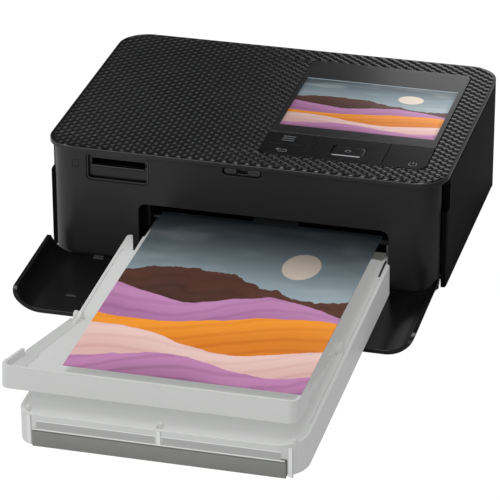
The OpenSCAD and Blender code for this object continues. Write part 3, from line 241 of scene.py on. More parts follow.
def picture_group():
    """Layered hills under a grey-blue sky. Each hill's crest is base + amp sin(freq u + phase) + noise,
    and below its crest the hill covers what lies behind it."""
    g, w, given, out = new_group("layered_hills", [("Vector", "NodeSocketVector", None)],
                                 [("Colour", "NodeSocketColor")])
    u, v = w.split(given["Vector"])[:2]
    rough = w.noise(given["Vector"], 7, 4)
    cloud = w.noise(w.mapped(given["Vector"], (1.6, 6, 1)), 1.5)
    sky = w.mix(w.step(v, 0.35, 1.0), srgb(176, 194, 202), srgb(98, 116, 126))
    cloud = w.math("MULTIPLY", w.step(cloud, 0.45, 0.75), 0.5)
    colour = w.mix(cloud, sky, srgb(196, 208, 212))
    # Low pale sun: a disc with a soft edge
    sun_u, sun_v, sun_r, sun_edge = 0.73, 0.74, 0.08, 0.005
    away = w.length(w.math("SUBTRACT", u, sun_u), w.math("SUBTRACT", v, sun_v))
    colour = w.mix(w.step(away, sun_r + sun_edge, sun_r), colour, srgb(238, 222, 206))
    # base, amp, freq, phase, bite of the noise, colour at the crest, colour down the slope
    hills = [
        (0.60, 0.050, 5.0, 0.4, 0.16, srgb(96, 58, 46), srgb(58, 34, 28)),
        (0.49, 0.040, 8.0, 2.2, 0.05, srgb(200, 140, 188), srgb(150, 92, 142)),
        (0.37, 0.055, 4.2, 4.0, 0.03, srgb(252, 158, 44), srgb(206, 104, 20)),
        (0.22, 0.050, 6.0, 1.0, 0.03, srgb(242, 206, 200), srgb(214, 162, 158)),
        (0.10, 0.035, 7.5, 5.0, 0.04, srgb(198, 136, 184), srgb(120, 72, 104)),
    ]
    for base, amp, freq, phase, bite, lit, shade in hills:
        wave = w.math("SINE", w.math("ADD", w.math("MULTIPLY", u, freq), phase))
        crest = w.math("ADD", w.math("MULTIPLY", wave, amp), base)
        crest = w.math("ADD", crest, w.math("MULTIPLY", w.math("SUBTRACT", rough, 0.5), bite))
        depth = w.math("SUBTRACT", crest, v)
        # Furrows that follow the slope
        furrow = w.math("ADD", w.math("MULTIPLY", depth, 95.0), w.math("MULTIPLY", u, freq * 2.4))
        fade = w.math("ADD", w.math("MULTIPLY", w.step(depth, 0.0, 0.16), 0.55),
                      w.math("MULTIPLY", w.step(w.math("SINE", furrow), 0.2, 1.0), 0.22), clamp=True)
        colour = w.mix(w.step(depth, -0.002, 0.002), colour, w.mix(fade, lit, shade))
    w.put(out["Colour"], colour)
    return g


GRAIN = grain_group()
BRUSHED = brushed_group()
PICTURE = picture_group()
GRAIN_DEPTH = 0.00002
GLOSS_SPREAD = 0.05
COAT_ROUGH = 0.1


def material(name):
    """New material, its wiring helper, its Principled shader and its object coordinates."""
    m = bpy.data.materials.new(name)
    m.use_nodes = True
    m.node_tree.nodes.clear()
    w = Web(m.node_tree)
    out = w.node("ShaderNodeOutputMaterial")
    bsdf = w.node("ShaderNodeBsdfPrincipled")
    w.tree.links.new(bsdf.outputs[0], out.inputs["Surface"])
    coords = w.node("ShaderNodeTexCoord")
    return m, w, bsdf, coords.outputs["Object"]


def shader_of(m):
    """Wiring helper and Principled shader of a material that is there already."""
    return Web(m.node_tree), next(n for n in m.node_tree.nodes if n.type == "BSDF_PRINCIPLED")


def bump(w, bsdf, height, strength, distance):
    """Fine relief: the height, from 0 to 1, times a distance in metres turns the normal."""
    b = w.node("ShaderNodeBump")
    b.inputs["Strength"].default_value = strength
    b.inputs["Distance"].default_value = distance
    w.put(b.inputs["Height"], height)
    w.put(bsdf.inputs["Normal"], b.outputs[0])


def surface(w, bsdf, obj, group, strength, values):
    """A group's colour, roughness and relief on the Principled shader, with the group's own values."""
    g = w.node("ShaderNodeGroup")
    g.node_tree = group
    w.put(g.inputs["Vector"], obj)
    for k, v in values.items():
        g.inputs[k].default_value = v
    w.put(bsdf.inputs["Base Color"], g.outputs["Colour"])
    w.put(bsdf.inputs["Roughness"], g.outputs["Roughness"])
    bump(w, bsdf, g.outputs["Height"], strength, GRAIN_DEPTH)


def plastic(name, colour, rough, grain=2200.0, strength=0.25, tone=0.06, specular=0.5, coat=0.0, **extra):
    """Moulded plastic, rubber or card."""
    m, w, bsdf, obj = material(name)
    surface(w, bsdf, obj, GRAIN, strength, {"Colour": colour, "Roughness": rough, "Grain scale": grain,
                                            "Tone": tone, "Gloss spread": GLOSS_SPREAD})
    bsdf.inputs["Specular IOR Level"].default_value = specular
    bsdf.inputs["Coat Weight"].default_value = coat
    bsdf.inputs["Coat Roughness"].default_value = COAT_ROUGH
    for k, v in extra.items():
        bsdf.inputs[k].default_value = v
    return m


def woven(name, valley, crest_highlight, rough, specular):
    """Plastic whose raised floats are painted paler than the valleys, a painted highlight on the crests. The
    surface's own crest value, from 0 to 1, mixes the two colours."""
    m = plastic(name, valley, rough, specular=specular, tone=0.08, strength=0.08)
    w, bsdf = shader_of(m)
    shade = bsdf.inputs["Base Color"].links[0].from_socket
    crest = w.node("ShaderNodeAttribute", attribute_name="crest").outputs["Fac"]
    # Painted highlight: the crests take the paler colour
    w.put(bsdf.inputs["Base Color"], w.mix(w.step(crest, 0.55, 0.98), shade, crest_highlight))
    return m


# Colour of the painted glow that lightens the frosted plastics and their shade
MILK_GLOW = srgb(206, 207, 206)


def frosted(name, colour, rough, specular, glow, **extra):
    """Milky plastic: a faint painted glow stands for the light that scatters inside it."""
    painted_glow = {"Emission Color": MILK_GLOW, "Emission Strength": glow}
    return plastic(name, colour, rough, grain=900, strength=0.15, tone=0.04, specular=specular, **painted_glow,
                   **extra)


def dim_inside(m, outside, inside):
    """Takes the painted glow off the end that stands in the printer's shade, between two places along Y in
    metres.
    """
    w, bsdf = shader_of(m)
    y = w.split(w.node("ShaderNodeTexCoord").outputs["Object"])[1]
    w.put(bsdf.inputs["Emission Color"], w.mix(w.step(y, inside, outside), BLACK, MILK_GLOW))


def metal(name, colour, rough):
    """Brushed or drawn metal."""
    m, w, bsdf, obj = material(name)
    surface(w, bsdf, obj, BRUSHED, 0.15, {"Colour": colour, "Roughness": rough})
    bsdf.inputs["Metallic"].default_value = 1.0
    return m


def picture_on(name, rect, plain, rough, glow=0.0, coat=0.0, glass_rim=0.0, shaded_paper_print=False):
    """Gloss surface that shows the hills inside a rectangle (x0, y0, x1, y1) in millimetres, and a plain
    colour round it. A glass rim, in millimetres, frames the picture and brings painted shade and a painted
    highlight onto it as on a panel. On a shaded paper print the underside is bare paper, and a painted shadow
    darkens the picture towards the upper end."""
    m, w, bsdf, obj = material(name)
    x0, y0, x1, y1 = rect
    lo, hi = metres([x0, y0, 0]), metres([x1, y1, 0])
    sx, sy = 1 / (hi[0] - lo[0]), 1 / (hi[1] - lo[1])
    place = w.mapped(obj, (sx, sy, 0), (-lo[0] * sx, -lo[1] * sy, 0))
    g = w.node("ShaderNodeGroup")
    g.node_tree = PICTURE
    w.put(g.inputs["Vector"], place)
    picture = g.outputs["Colour"]
    u, v = w.split(place)[:2]
    # Distance inwards from the nearest edge, in millimetres
    du = w.math("MULTIPLY", w.math("MINIMUM", u, w.math("SUBTRACT", 1.0, u)), x1 - x0)
    dv = w.math("MULTIPLY", w.math("MINIMUM", v, w.math("SUBTRACT", 1.0, v)), y1 - y0)
    inside = w.math("MINIMUM", du, dv)
    shown = w.step(inside, glass_rim, glass_rim + 0.15)
    if shaded_paper_print:
        # The underside is bare paper
        low, high = print_lo[2] * MM, print_hi[2] * MM
        shown = w.step(w.split(obj)[2], low, low + 0.4 * (high - low))
        # Painted shadow of the case's overhang: the picture darkens towards the sheet's upper end
        picture = w.dimmed(picture, w.ramp(w.step(v, 0.42, 1.0), 0.0, 1.0, 0.92, 0.06))
    if glass_rim > 0:
        # Painted shade: the picture is darker at its rim, at the left and under its upper edge, and a painted
        # highlight, a light line, runs along the upper edge
        picture = w.dimmed(picture, w.ramp(w.step(inside, glass_rim, glass_rim + 2.5), 0.0, 1.0, 0.72, 1.0))
        upper = w.ramp(w.step(v, 0.80, 0.975), 0.0, 1.0, 1.0, 0.55)
        picture = w.dimmed(picture, w.math("MULTIPLY", w.ramp(u, 0.0, 1.0, 0.50, 0.84), upper))
        light_line = w.math("MULTIPLY", w.step(v, 0.982, 0.99), 0.75)
        picture = w.mix(light_line, picture, srgb(150, 164, 174))
    w.put(bsdf.inputs["Base Color"], w.mix(shown, plain, picture))
    if glow:
        w.put(bsdf.inputs["Emission Color"], w.mix(shown, BLACK, picture))
        bsdf.inputs["Emission Strength"].default_value = glow
    fine = w.noise(obj, 90)
    w.put(bsdf.inputs["Roughness"], w.ramp(fine, 0.3, 0.7, rough * 0.9, rough * 1.1))
    bump(w, bsdf, fine, 0.05, 0.00001)
    bsdf.inputs["Coat Weight"].default_value = coat
    bsdf.inputs["Coat Roughness"].default_value = rough * 0.6
    return m


lcd_lo, lcd_hi = corners("display_module")
lcd_picture = (lcd_lo[0], lcd_lo[1] + 2, lcd_hi[0], lcd_hi[1] - 2)
print_lo, print_hi = corners("print_sheet")
print_picture = (print_lo[0], print_lo[1], print_hi[0], print_hi[1])

CASE = plastic("case_satin_black", srgb(28, 28, 29), 0.40, specular=0.4, tone=0.10)
RIM = plastic("rim_satin_black", srgb(32, 32, 33), 0.38, specular=0.4)
# Side panels: darker and less glossy than the case, partly their own finish and partly painted shade on the
# sides
SIDE = plastic("side_satin_black_and_shade", srgb(13, 13, 14), 0.55, specular=0.03, tone=0.10)
DOOR = plastic("cover_gloss_black", srgb(8, 8, 9), 0.26, specular=0.3, tone=0.10, strength=0.12)
# Black weave with a painted highlight on its crests
WEAVE = woven("weave_satin_black", srgb(11, 11, 12), srgb(64, 64, 65), 0.2, 0.36)
CATCH = plastic("catch_gloss_black", srgb(46, 46, 47), 0.2, specular=0.6)
TRIM = plastic("trim_black", srgb(12, 12, 13), 0.3, specular=0.5)
KEYS = plastic("key_gloss_black", srgb(12, 12, 13), 0.24, specular=0.17, strength=0.08)
INK = plastic("key_print_grey", srgb(106, 107, 110), 0.5, specular=0.2)
INK_FAINT = plastic("case_print_dark", srgb(16, 16, 17), 0.5, specular=0.2)
INK_DARK = plastic("key_print_dark", srgb(8, 8, 9), 0.5, specular=0.2)
# Painted highlight along the glass's front edge
EDGE = plastic("glass_edge_highlight", srgb(112, 113, 116), 0.3, specular=0.3)
# Painted highlight on the card recess's edges
RECESS_HIGHLIGHT = plastic("recess_edge_highlight", srgb(58, 59, 60), 0.3, specular=0.5)
CHAMFER = plastic("centre_key_chamfer", srgb(74, 75, 77), 0.2, specular=1.0, Metallic=0.9)
FROST = frosted("frosted_plastic", srgb(161, 162, 161), 0.42, 0.3, 0.38, Alpha=0.86)
dim_inside(FROST, 0.014, 0.022)
# Darker copy with less glow: painted shade for the bands above the bar, and the dark joints beside the posts
BAND_SHADE_AND_JOINT = frosted("frosted_plastic_shade_and_joint", srgb(130, 131, 130), 0.45, 0.2, 0.26)
# Darker copy with less glow: painted shade on the tray's sloped left border
BORDER = frosted("frosted_plastic_border_shade", srgb(150, 151, 150), 0.45, 0.2, 0.32)
# Lighter copy with more glow: painted light for the light edges and posts on the cassette's front
PAINTED_LIGHT_RIB = frosted("frosted_plastic_painted_light", srgb(172, 173, 172), 0.4, 0.3, 0.46)
SHADE = plastic("slot_shade_grey", srgb(62, 63, 63), 0.6, specular=0.1)
BAR = plastic("bar_grey", srgb(134, 135, 132), 0.45, specular=0.3)
RUBBER = plastic("rubber_black", srgb(22, 22, 23), 0.75, specular=0.25, strength=0.4)
NYLON = plastic("gear_nylon", srgb(46, 46, 47), 0.45)
SHELL = plastic("ribbon_shell", srgb(214, 214, 210), 0.4)
DYE = plastic("ribbon_dye", srgb(74, 44, 92), 0.22, specular=0.6, coat=0.5)
BOARD = plastic("board_green", srgb(24, 84, 58), 0.4, tone=0.2)
PAPER = plastic("paper_white", srgb(240, 240, 236), 0.55, grain=1400, strength=0.3)
CERAMIC = plastic("head_ceramic", srgb(226, 222, 210), 0.25)
BLACKED = plastic("blacked_sheet", srgb(9, 9, 9), 0.6, specular=0.12)
STEEL = metal("brushed_steel", srgb(176, 178, 182), 0.32)
DARK_STEEL = metal("steel_dark_grey", srgb(52, 53, 55), 0.45)
ALUMINIUM = metal("cast_aluminium", srgb(196, 198, 202), 0.42)
BRASS = metal("turned_brass", srgb(214, 176, 104), 0.3)
GLASS = picture_on("display_glass_gloss", lcd_picture, srgb(24, 24, 25), 0.22, glow=0.22, coat=0.35,
                   glass_rim=0.01)
LCD = picture_on("display_panel", lcd_picture, srgb(30, 30, 32), 0.3)
PRINT = picture_on("print_gloss", print_picture, srgb(240, 240, 236), 0.25, coat=0.25, shaded_paper_print=True)


# ---------------------------------------------------------------- mesh building blocks
CORNER_STEPS = 10


def add_mesh(name, verts, faces, mat, body, smooth=True):
    """Object from metre vertices and faces, riding on a body."""
    me = bpy.data.meshes.new(name)
    me.from_pydata(np.asarray(verts, float).reshape(-1, 3).tolist(), [], [list(map(int, f)) for f in faces])
    me.validate()
    me.update()
    me.materials.append(mat)
    if smooth:
        me.shade_smooth()
    o = bpy.data.objects.new(name, me)
    bpy.context.scene.collection.objects.link(o)
    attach(o, body)
    return o


def grid_faces(rows, cols, wrap_rows=False, wrap_cols=True):
    """Quads between neighbouring rows and columns of a grid numbered row by row."""
    r = np.arange(rows if wrap_rows else rows - 1)
    c = np.arange(cols if wrap_cols else cols - 1)
    r, c = np.meshgrid(r, c, indexing="ij")
    r1, c1 = (r + 1) % rows, (c + 1) % cols
    return np.stack([r * cols + c, r * cols + c1, r1 * cols + c1, r1 * cols + c], -1).reshape(-1, 4)


def line(x0, y0, x1, y1, n):
    """n points on a straight line: (x0, y0) + s (x1 - x0, y1 - y0), with s from 0 to 1."""
    return np.stack([np.linspace(x0, x1, n), np.linspace(y0, y1, n)], -1)


def arc(cx, cy, r, a0, a1, n=16):
    """Points (cx + r cos t, cy + r sin t), with t from a0 to a1 degrees."""
    t = np.radians(np.linspace(a0, a1, n))
    return np.stack([cx + r * np.cos(t), cy + r * np.sin(t)], -1)


def outline(x0, y0, x1, y1, radii, inset=0.0):
    """Rounded rectangle: at each corner the centre plus r (cos t, sin t), with t over a quarter turn.
    radii go front-left, front-right, back-right, back-left, and shrink with the inset."""
    r = np.maximum(np.asarray(radii, float) - inset, 0.02)
    x0, y0, x1, y1 = x0 + inset, y0 + inset, x1 - inset, y1 - inset
    cx = np.array([x0 + r[0], x1 - r[1], x1 - r[2], x0 + r[3]])
    cy = np.array([y0 + r[0], y0 + r[1], y1 - r[2], y1 - r[3]])
    t = np.radians(np.array([180, 270, 0, 90])[:, None] + np.linspace(0, 90, CORNER_STEPS)[None])
    x, y = cx[:, None] + r[:, None] * np.cos(t), cy[:, None] + r[:, None] * np.sin(t)
    return np.stack([x, y], -1).reshape(-1, 2)


def plate(name, rect, radii, profile, mat, body):
    """Solid whose level curves are one rounded rectangle. Profile rows are (inset, z), underside first."""
    n = 4 * CORNER_STEPS
    rings = [np.c_[outline(*rect, radii, inset), np.full(n, z)] for inset, z in profile]
    faces = grid_faces(len(profile), n).tolist()
    faces.append(list(range(n))[::-1])
    faces.append(list(range((len(profile) - 1) * n, len(profile) * n)))
    return add_mesh(name, metres(np.concatenate(rings)), faces, mat, body)


def turn_outwards(o):
    """Faces of a closed mesh are turned to the outside."""
    bm = bmesh.new()
    bm.from_mesh(o.data)
    bmesh.ops.recalc_face_normals(bm, faces=bm.faces)
    bm.to_mesh(o.data)
    bm.free()


def ribbon(name, path, width, lo, hi, mat, body, closed=False, place=None):
    """Flat stroke: a four-cornered section carried along a path. Its corners lie at path +- normal width / 2,
    at the heights lo and hi. place maps (u, v, w) to (x, y, z)."""
    p = np.asarray(path, float)
    d = np.roll(p, -1, 0) - np.roll(p, 1, 0) if closed else np.gradient(p, axis=0)
    d /= np.linalg.norm(d, axis=1, keepdims=True)
    side = np.stack([-d[:, 1], d[:, 0]], -1) * width / 2
    n = len(p)
    ring = [np.c_[p + side, np.full(n, lo)], np.c_[p - side, np.full(n, lo)],
            np.c_[p - side, np.full(n, hi)], np.c_[p + side, np.full(n, hi)]]
    v = np.stack(ring, 1).reshape(-1, 3)
    if place is not None:
        v = place(v)
    faces = grid_faces(n, 4, wrap_rows=closed).tolist()
    if not closed:
        faces += [[3, 2, 1, 0], [4 * n - 4, 4 * n - 3, 4 * n - 2, 4 * n - 1]]
    o = add_mesh(name, metres(v), faces, mat, body, smooth=False)
    turn_outwards(o)
    return o


# Corners closer than MERGE metres are one, faces within the flat angle are joined, and edges past the sharp
# angle are rounded.
MERGE = 2e-6
FLAT_ANGLE, SHARP_ANGLE = math.radians(0.4), math.radians(40)


def softened(node, width, mat, segments=2, sink=0.0, grow=0.0):
    """Stand-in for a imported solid: its flat faces joined and its edges rounded. Its highest face goes down by
    sink, and its plan grows by grow on each side: p' = centre + (p - centre) (1 + 2 grow / width)."""
    me = nodes[node].data.copy()
    bm = bmesh.new()
    bm.from_mesh(me)
    bmesh.ops.remove_doubles(bm, verts=bm.verts, dist=MERGE)
    if sink:
        top = max(v.co.z for v in bm.verts)
        for v in bm.verts:
            if v.co.z > top - 1e-5:
                v.co.z = top - sink * MM
    if grow:
        lo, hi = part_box(node)
        for a in (0, 1):
            mid, gain = (lo[a] + hi[a]) / 2, 1 + 2 * grow * MM / (hi[a] - lo[a])
            for v in bm.verts:
                v.co[a] = mid + (v.co[a] - mid) * gain
    bmesh.ops.dissolve_limit(bm, angle_limit=FLAT_ANGLE, verts=bm.verts, edges=bm.edges)
    many_sided = [f for f in bm.faces if len(f.verts) > 4]
    bmesh.ops.triangulate(bm, faces=many_sided, ngon_method="BEAUTY")
    bm.to_mesh(me)
    bm.free()
    me.materials.clear()
    me.materials.append(mat)
    for a in list(me.attributes):
        if a.name == "custom_normal":
            me.attributes.remove(a)
    me.shade_smooth()
    o = bpy.data.objects.new(node + "_finished", me)
    bpy.context.scene.collection.objects.link(o)
    edges = o.modifiers.new("edges", "BEVEL")
    edges.width = width * MM
    edges.segments = segments
    edges.limit_method = "ANGLE"
    edges.angle_limit = SHARP_ANGLE
    edges.use_clamp_overlap = False
    edges.loop_slide = False
    even = o.modifiers.new("flat_faces", "WEIGHTED_NORMAL")
    even.weight = 100
    even.keep_sharp = True
    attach(o, body_of_node[node])
    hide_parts(node)


def dress(mat, *names):
    """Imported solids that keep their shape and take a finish."""
    for n in names:
        nodes[n].data.materials.clear()
        nodes[n].data.materials.append(mat)


# ---------------------------------------------------------------- case
# Weave: its height, its cell across and in depth, how sharp its ridges are and the grid's step
WEAVE_RISE = 0.46
WEAVE_X, WEAVE_Y = 5.23, 4.28
WEAVE_SHARP = 0.96
WEAVE_STEP = 0.58
# How far the weave stays off the lid's edge and off the control panel, and the corner radii there
LID_EDGE, LID_R = 0.55, 14.0
PANEL_GAP, PANEL_R = 0.45, 5.2

softened("front_fascia", 0.35, CASE, segments=3)
softened("left_panel", 0.3, SIDE)
softened("ink_cover", 0.3, SIDE)
softened("rear_panel", 0.3, SIDE)
softened("base_pan", 0.3, CASE)
softened("feet", 0.5, RUBBER)
softened("front_door", 0.35, DOOR, segments=3)
softened("latch_catch", 0.45, CATCH, segments=3)
softened("card_reader", 0.25, TRIM)
softened("top_cover", 0.3, RIM, segments=3, sink=WEAVE_RISE)


def fold(t):
    """Wave of flat facets with softened ridges: asin(k cos t) / asin k."""
    return np.arcsin(WEAVE_SHARP * np.cos(t)) / np.arcsin(WEAVE_SHARP)


def weave_height(x, y):
    """Woven relief from 0 to 1: 0.5 + a fold(u + v) + (0.5 - a) fold(u - v), with u and v counting the cells
    across and in depth. The share a grows straight from one place across the lid to another, so that the
    ridges follow one diagonal at the left and lean to the other at the right."""
    u, v = 2 * np.pi * x / WEAVE_X, 2 * np.pi * y / WEAVE_Y
    from_x, to_x, from_share, to_share = -75, 20, 0.13, 0.29
    a = from_share + (to_share - from_share) * np.clip((x - from_x) / (to_x - from_x), 0, 1)
    return 0.5 + a * fold(u + v) + (0.5 - a) * fold(u - v)


def corner_cut(y, lo, hi, r):
    """How far a rounded corner's edge stands in from the straight side at depth y: r - sqrt(r^2 - d^2)."""
    d = np.clip(np.maximum(lo + r - y, y - hi + r), 0, r)
    return r - np.sqrt(r * r - d * d)


def woven_top():
    """Relief on the lid: four sheets round the control panel, each a grid whose rows run from one edge to
    the other. Near the rim the weave fades by a smooth step into a low plain shoulder."""
    (x0, y0, _), (x1, y1, z1) = corners("top_cover")
    x0, y0, x1, y1, r = x0 + LID_EDGE, y0 + LID_EDGE, x1 - LID_EDGE, y1 - LID_EDGE, LID_R - LID_EDGE
    px0, py0 = corners("menu_key")[0][:2] - PANEL_GAP
    px1, py1 = corners("display_glass")[1][:2] + PANEL_GAP
    # The relief starts just above the sunk lid. It is plain up to one distance from the rim, then blends in.
    low, height = z1 - WEAVE_RISE + 0.015, WEAVE_RISE * 0.94
    plain, blend = 0.2, 1.5

    def left(y):
        return x0 + corner_cut(y, y0, y1, r)

    def right(y):
        return x1 - corner_cut(y, y0, y1, r)

    def panel_left(y):
        return px0 + corner_cut(y, py0, py1, PANEL_R)

    def panel_right(y):
        return px1 - corner_cut(y, py0, py1, PANEL_R)

    sheets = ((y0, py0, left, right, x1 - x0), (py1, y1, left, right, x1 - x0),
              (py0, py1, left, panel_left, px0 - x0), (py0, py1, panel_right, right, x1 - px1))
    verts, faces, crest, count = [], [], [], 0
    for ya, yb, a, b, wide in sheets:
        rows, cols = int((yb - ya) / WEAVE_STEP) + 2, int(wide / WEAVE_STEP) + 2
        y = np.repeat(np.linspace(ya, yb, rows)[:, None], cols, 1)
        s = np.repeat(np.linspace(0, 1, cols)[None], rows, 0)
        x = a(y) * (1 - s) + b(y) * s
        rim = np.minimum.reduce([x - left(y), right(y) - x, y - y0, y1 - y])
        fade = np.clip((rim - plain) / blend, 0, 1)
        fade = fade * fade * (3 - 2 * fade)
        shoulder = 0.25 * np.clip(rim, 0, 0.5) * (1 - fade)
        lift = weave_height(x, y) * fade
        verts.append(np.stack([x, y, low + height * (shoulder + lift)], -1).reshape(-1, 3))
        crest.append(lift.ravel())
        faces.append(grid_faces(rows, cols, wrap_cols=False) + count)
        count += rows * cols
    o = add_mesh("woven_top", metres(np.concatenate(verts)), np.concatenate(faces), WEAVE, "printer")
    o.data.attributes.new("crest", "FLOAT", "POINT").data.foreach_set("value", np.concatenate(crest))


woven_top()

# ---------------------------------------------------------------- control panel
softened("display_glass", 0.12, GLASS)
softened("menu_key", 0.12, KEYS)
softened("nav_pad", 0.12, KEYS)
softened("power_key", 0.12, KEYS)
dress(LCD, "display_module")
key_top = corners("menu_key")[1][2]


def centre_key():
    """Centre key: a polished chamfer ring round a satin face, both level curves of one rounded rectangle."""
    lo, hi = corners("ok_key")
    top = hi[2]
    rect, radii = (lo[0], lo[1], hi[0], hi[1]), (1.7,) * 4
    ring_profile = [(0.3, lo[2]), (0.0, key_top - 1.0), (0.0, top - 0.42), (0.08, top - 0.34),
                    (0.62, top - 0.03), (0.8, top - 0.06)]
    face_profile = [(0.75, top - 0.5), (0.75, top - 0.06), (0.85, top), (1.4, top), (1.8, top)]
    ring = plate("centre_key_chamfer", rect, radii, ring_profile, CHAMFER, "centre_key")
    face = plate("centre_key_face", rect, radii, face_profile, KEYS, "centre_key")
    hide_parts("ok_key")


def stroke(name, path, width, body, mat, z, closed=False):
    """Printed mark: a flat ribbon lying on a level face."""
    o = ribbon(name, path, width, z - 0.02, z + 0.03, mat, body, closed=closed)


def key_marks():
    """Marks on the keys: three lines, a return arrow, four small chevrons, a ring and a power sign, and the
    dark lines across the menu key and along the pad's sides."""
    z, pen = key_top, 0.36
    menu_x0, menu_x1 = 11.4, 17.0
    for k, y in enumerate((34.0, 31.9, 29.8)):
        stroke(f"menu_line_{k}", line(menu_x0, y, menu_x1, y, 3), 0.5, "menu_rocker", INK, z)
    bend_x, bend_y, bend_r, tip_x = 15.2, 19.0, 1.05, 11.2
    tip_y = bend_y + bend_r
    bend = arc(bend_x, bend_y, bend_r, 90, -90)
    loop = np.vstack([[[tip_x, tip_y]], bend, [[tip_x + 1.4, bend_y - bend_r]]])
    head = [[tip_x + 1.3, tip_y + 1.05], [tip_x, tip_y], [tip_x + 1.3, tip_y - 1.05]]
    stroke("return_loop", loop, pen, "menu_rocker", INK, z)
    stroke("return_head", head, pen, "menu_rocker", INK, z)
    stroke("menu_groove", [[6.3, 25.6], [14, 25.6], [21.9, 25.6]], 0.4, "menu_rocker", INK_DARK, z)
    lo, hi = corners("nav_pad")
    for k, x in enumerate((lo[0] + 0.24, hi[0] - 0.24)):
        stroke(f"pad_edge_{k}", line(x, lo[1] + 0.3, x, hi[1] - 0.3, 3), 0.3, "four_way_pad", INK_DARK, z)
    chevron = np.array([[-0.45, 0.8], [0.45, 0.0], [-0.45, -0.8]])
    places = ((29.0, 25.2, 180), (56.0, 25.2, 0), (42.7, 34.8, 90), (42.2, 15.9, 270))
    for k, (x, y, turn) in enumerate(places):
        t = np.radians(turn)
        rot = np.array([[np.cos(t), np.sin(t)], [-np.sin(t), np.cos(t)]])
        stroke(f"pad_chevron_{k}", chevron @ rot + [x, y], 0.42, "four_way_pad", INK_DARK, z)
    lo, hi = corners("ok_key")
    mid = (lo + hi) / 2
    stroke("centre_ring", arc(mid[0], mid[1], 1.15, 0, 345, 24), 0.34, "centre_key", INK, hi[2], closed=True)
    power_x, power_y, power_r = 73.4, 19.0, 1.75
    bar = [[power_x, power_y + up] for up in (0.3, 1.3, 2.2)]
    stroke("power_arc", arc(power_x, power_y, power_r, 125, 415, 24), pen, "standby_key", INK, z)
    stroke("power_bar", bar, pen, "standby_key", INK, z)


def glass_edge():
    """Painted highlight: a light line along the glass's front edge."""
    lo, hi = corners("display_glass")
    path = line(lo[0] + 0.1, lo[1] + 0.16, hi[0] - 0.1, lo[1] + 0.16, 8)
    o = ribbon("glass_front_edge", path, 0.3, hi[2] - 0.1, hi[2], EDGE, "printer")


fascia_y = corners("front_fascia")[0][1]


def on_fascia(v):
    """Upright front of the case: across, up and out become (x, front - out, z)."""
    return np.stack([v[:, 0], fascia_y - v[:, 2], v[:, 1]], -1)


def card_sign():
    """Outline of a memory card with a cut corner, printed beside the slot."""
    x0, z0, x1, z1, cut = -77.7, 47.2, -74.8, 50.6, 0.8
    pts = np.array([[x0, z0], [x1, z0], [x1, z1], [x0 + cut, z1], [x0, z1 - cut]])
    rim = np.vstack([np.linspace(pts[k], pts[(k + 1) % 5], 6, endpoint=False) for k in range(5)])
    o = ribbon("card_sign", rim, 0.28, -0.03, 0.02, INK_FAINT, "printer", closed=True, place=on_fascia)


def card_recess():
    """Joint line round the card recess, and painted highlights: light lines on a stepped edge inside it and
    along the upper edge of the lip.
    """
    x0, z0, x1, z1, lip_z = -71.1, 41.6, -42.6, 54.5, 48.5
    # name, inset, width, from and to along the way out, finish
    for name, inset, width, lo, hi, mat in (("recess_joint", -0.2, 0.36, -0.02, 0.02, INK_DARK),
                                            ("recess_step", 0.3, 0.42, -0.95, -0.45, RECESS_HIGHLIGHT)):
        path = outline(x0, z0, x1, z1, (2.0,) * 4, inset)
        o = ribbon(name, path, width, lo, hi, mat, "printer", closed=True, place=on_fascia)
    path = line(x0 + 2.1, lip_z, x1 - 2.0, lip_z, 6)
    o = ribbon("card_lip_edge", path, 0.45, -0.74, -0.66, RECESS_HIGHLIGHT, "printer", place=on_fascia)


centre_key()
key_marks()
glass_edge()
card_sign()
card_recess()

# ---------------------------------------------------------------- cassette and tray
# The cassette slopes down towards the front. The tray rises towards the front from its hinge line.
CASSETTE_Z, CASSETTE_TILT = 5.0, 1.5
HINGE_Y, HINGE_Z, TRAY_TILT = -84.0, 16.3, -8.5

softened("cassette_body", 0.3, FROST)
softened("front_bar", 0.3, BAR)
softened("inner_lid", 0.2, FROST, grow=0.25)
softened("output_tray", 0.25, FROST)
dress(FROST, "tray_pins")


def tilted(v, y, z, angle):
    """Turn about X by a in degrees, then shift: y' = y0 + y cos a - z sin a, z' = z0 + y sin a + z cos a."""
    a = math.radians(angle)
    return np.stack([v[:, 0], y + v[:, 1] * math.cos(a) - v[:, 2] * math.sin(a),
                     z + v[:, 1] * math.sin(a) + v[:, 2] * math.cos(a)], -1)


def on_cassette(v):
    """Cassette's own frame, laid on its slope."""
    return tilted(v, 0.0, CASSETTE_Z, CASSETTE_TILT)


def on_tray(v):
    """Tray's own frame, its hinge line at the origin, laid on the cassette."""
    return on_cassette(tilted(v, HINGE_Y, HINGE_Z, TRAY_TILT))


def on_cassette_front(v):
    """Cassette's front wall: across, up and out in the cassette's own frame."""
    front = -164.0
    return on_cassette(np.stack([v[:, 0], front - v[:, 2], v[:, 1]], -1))


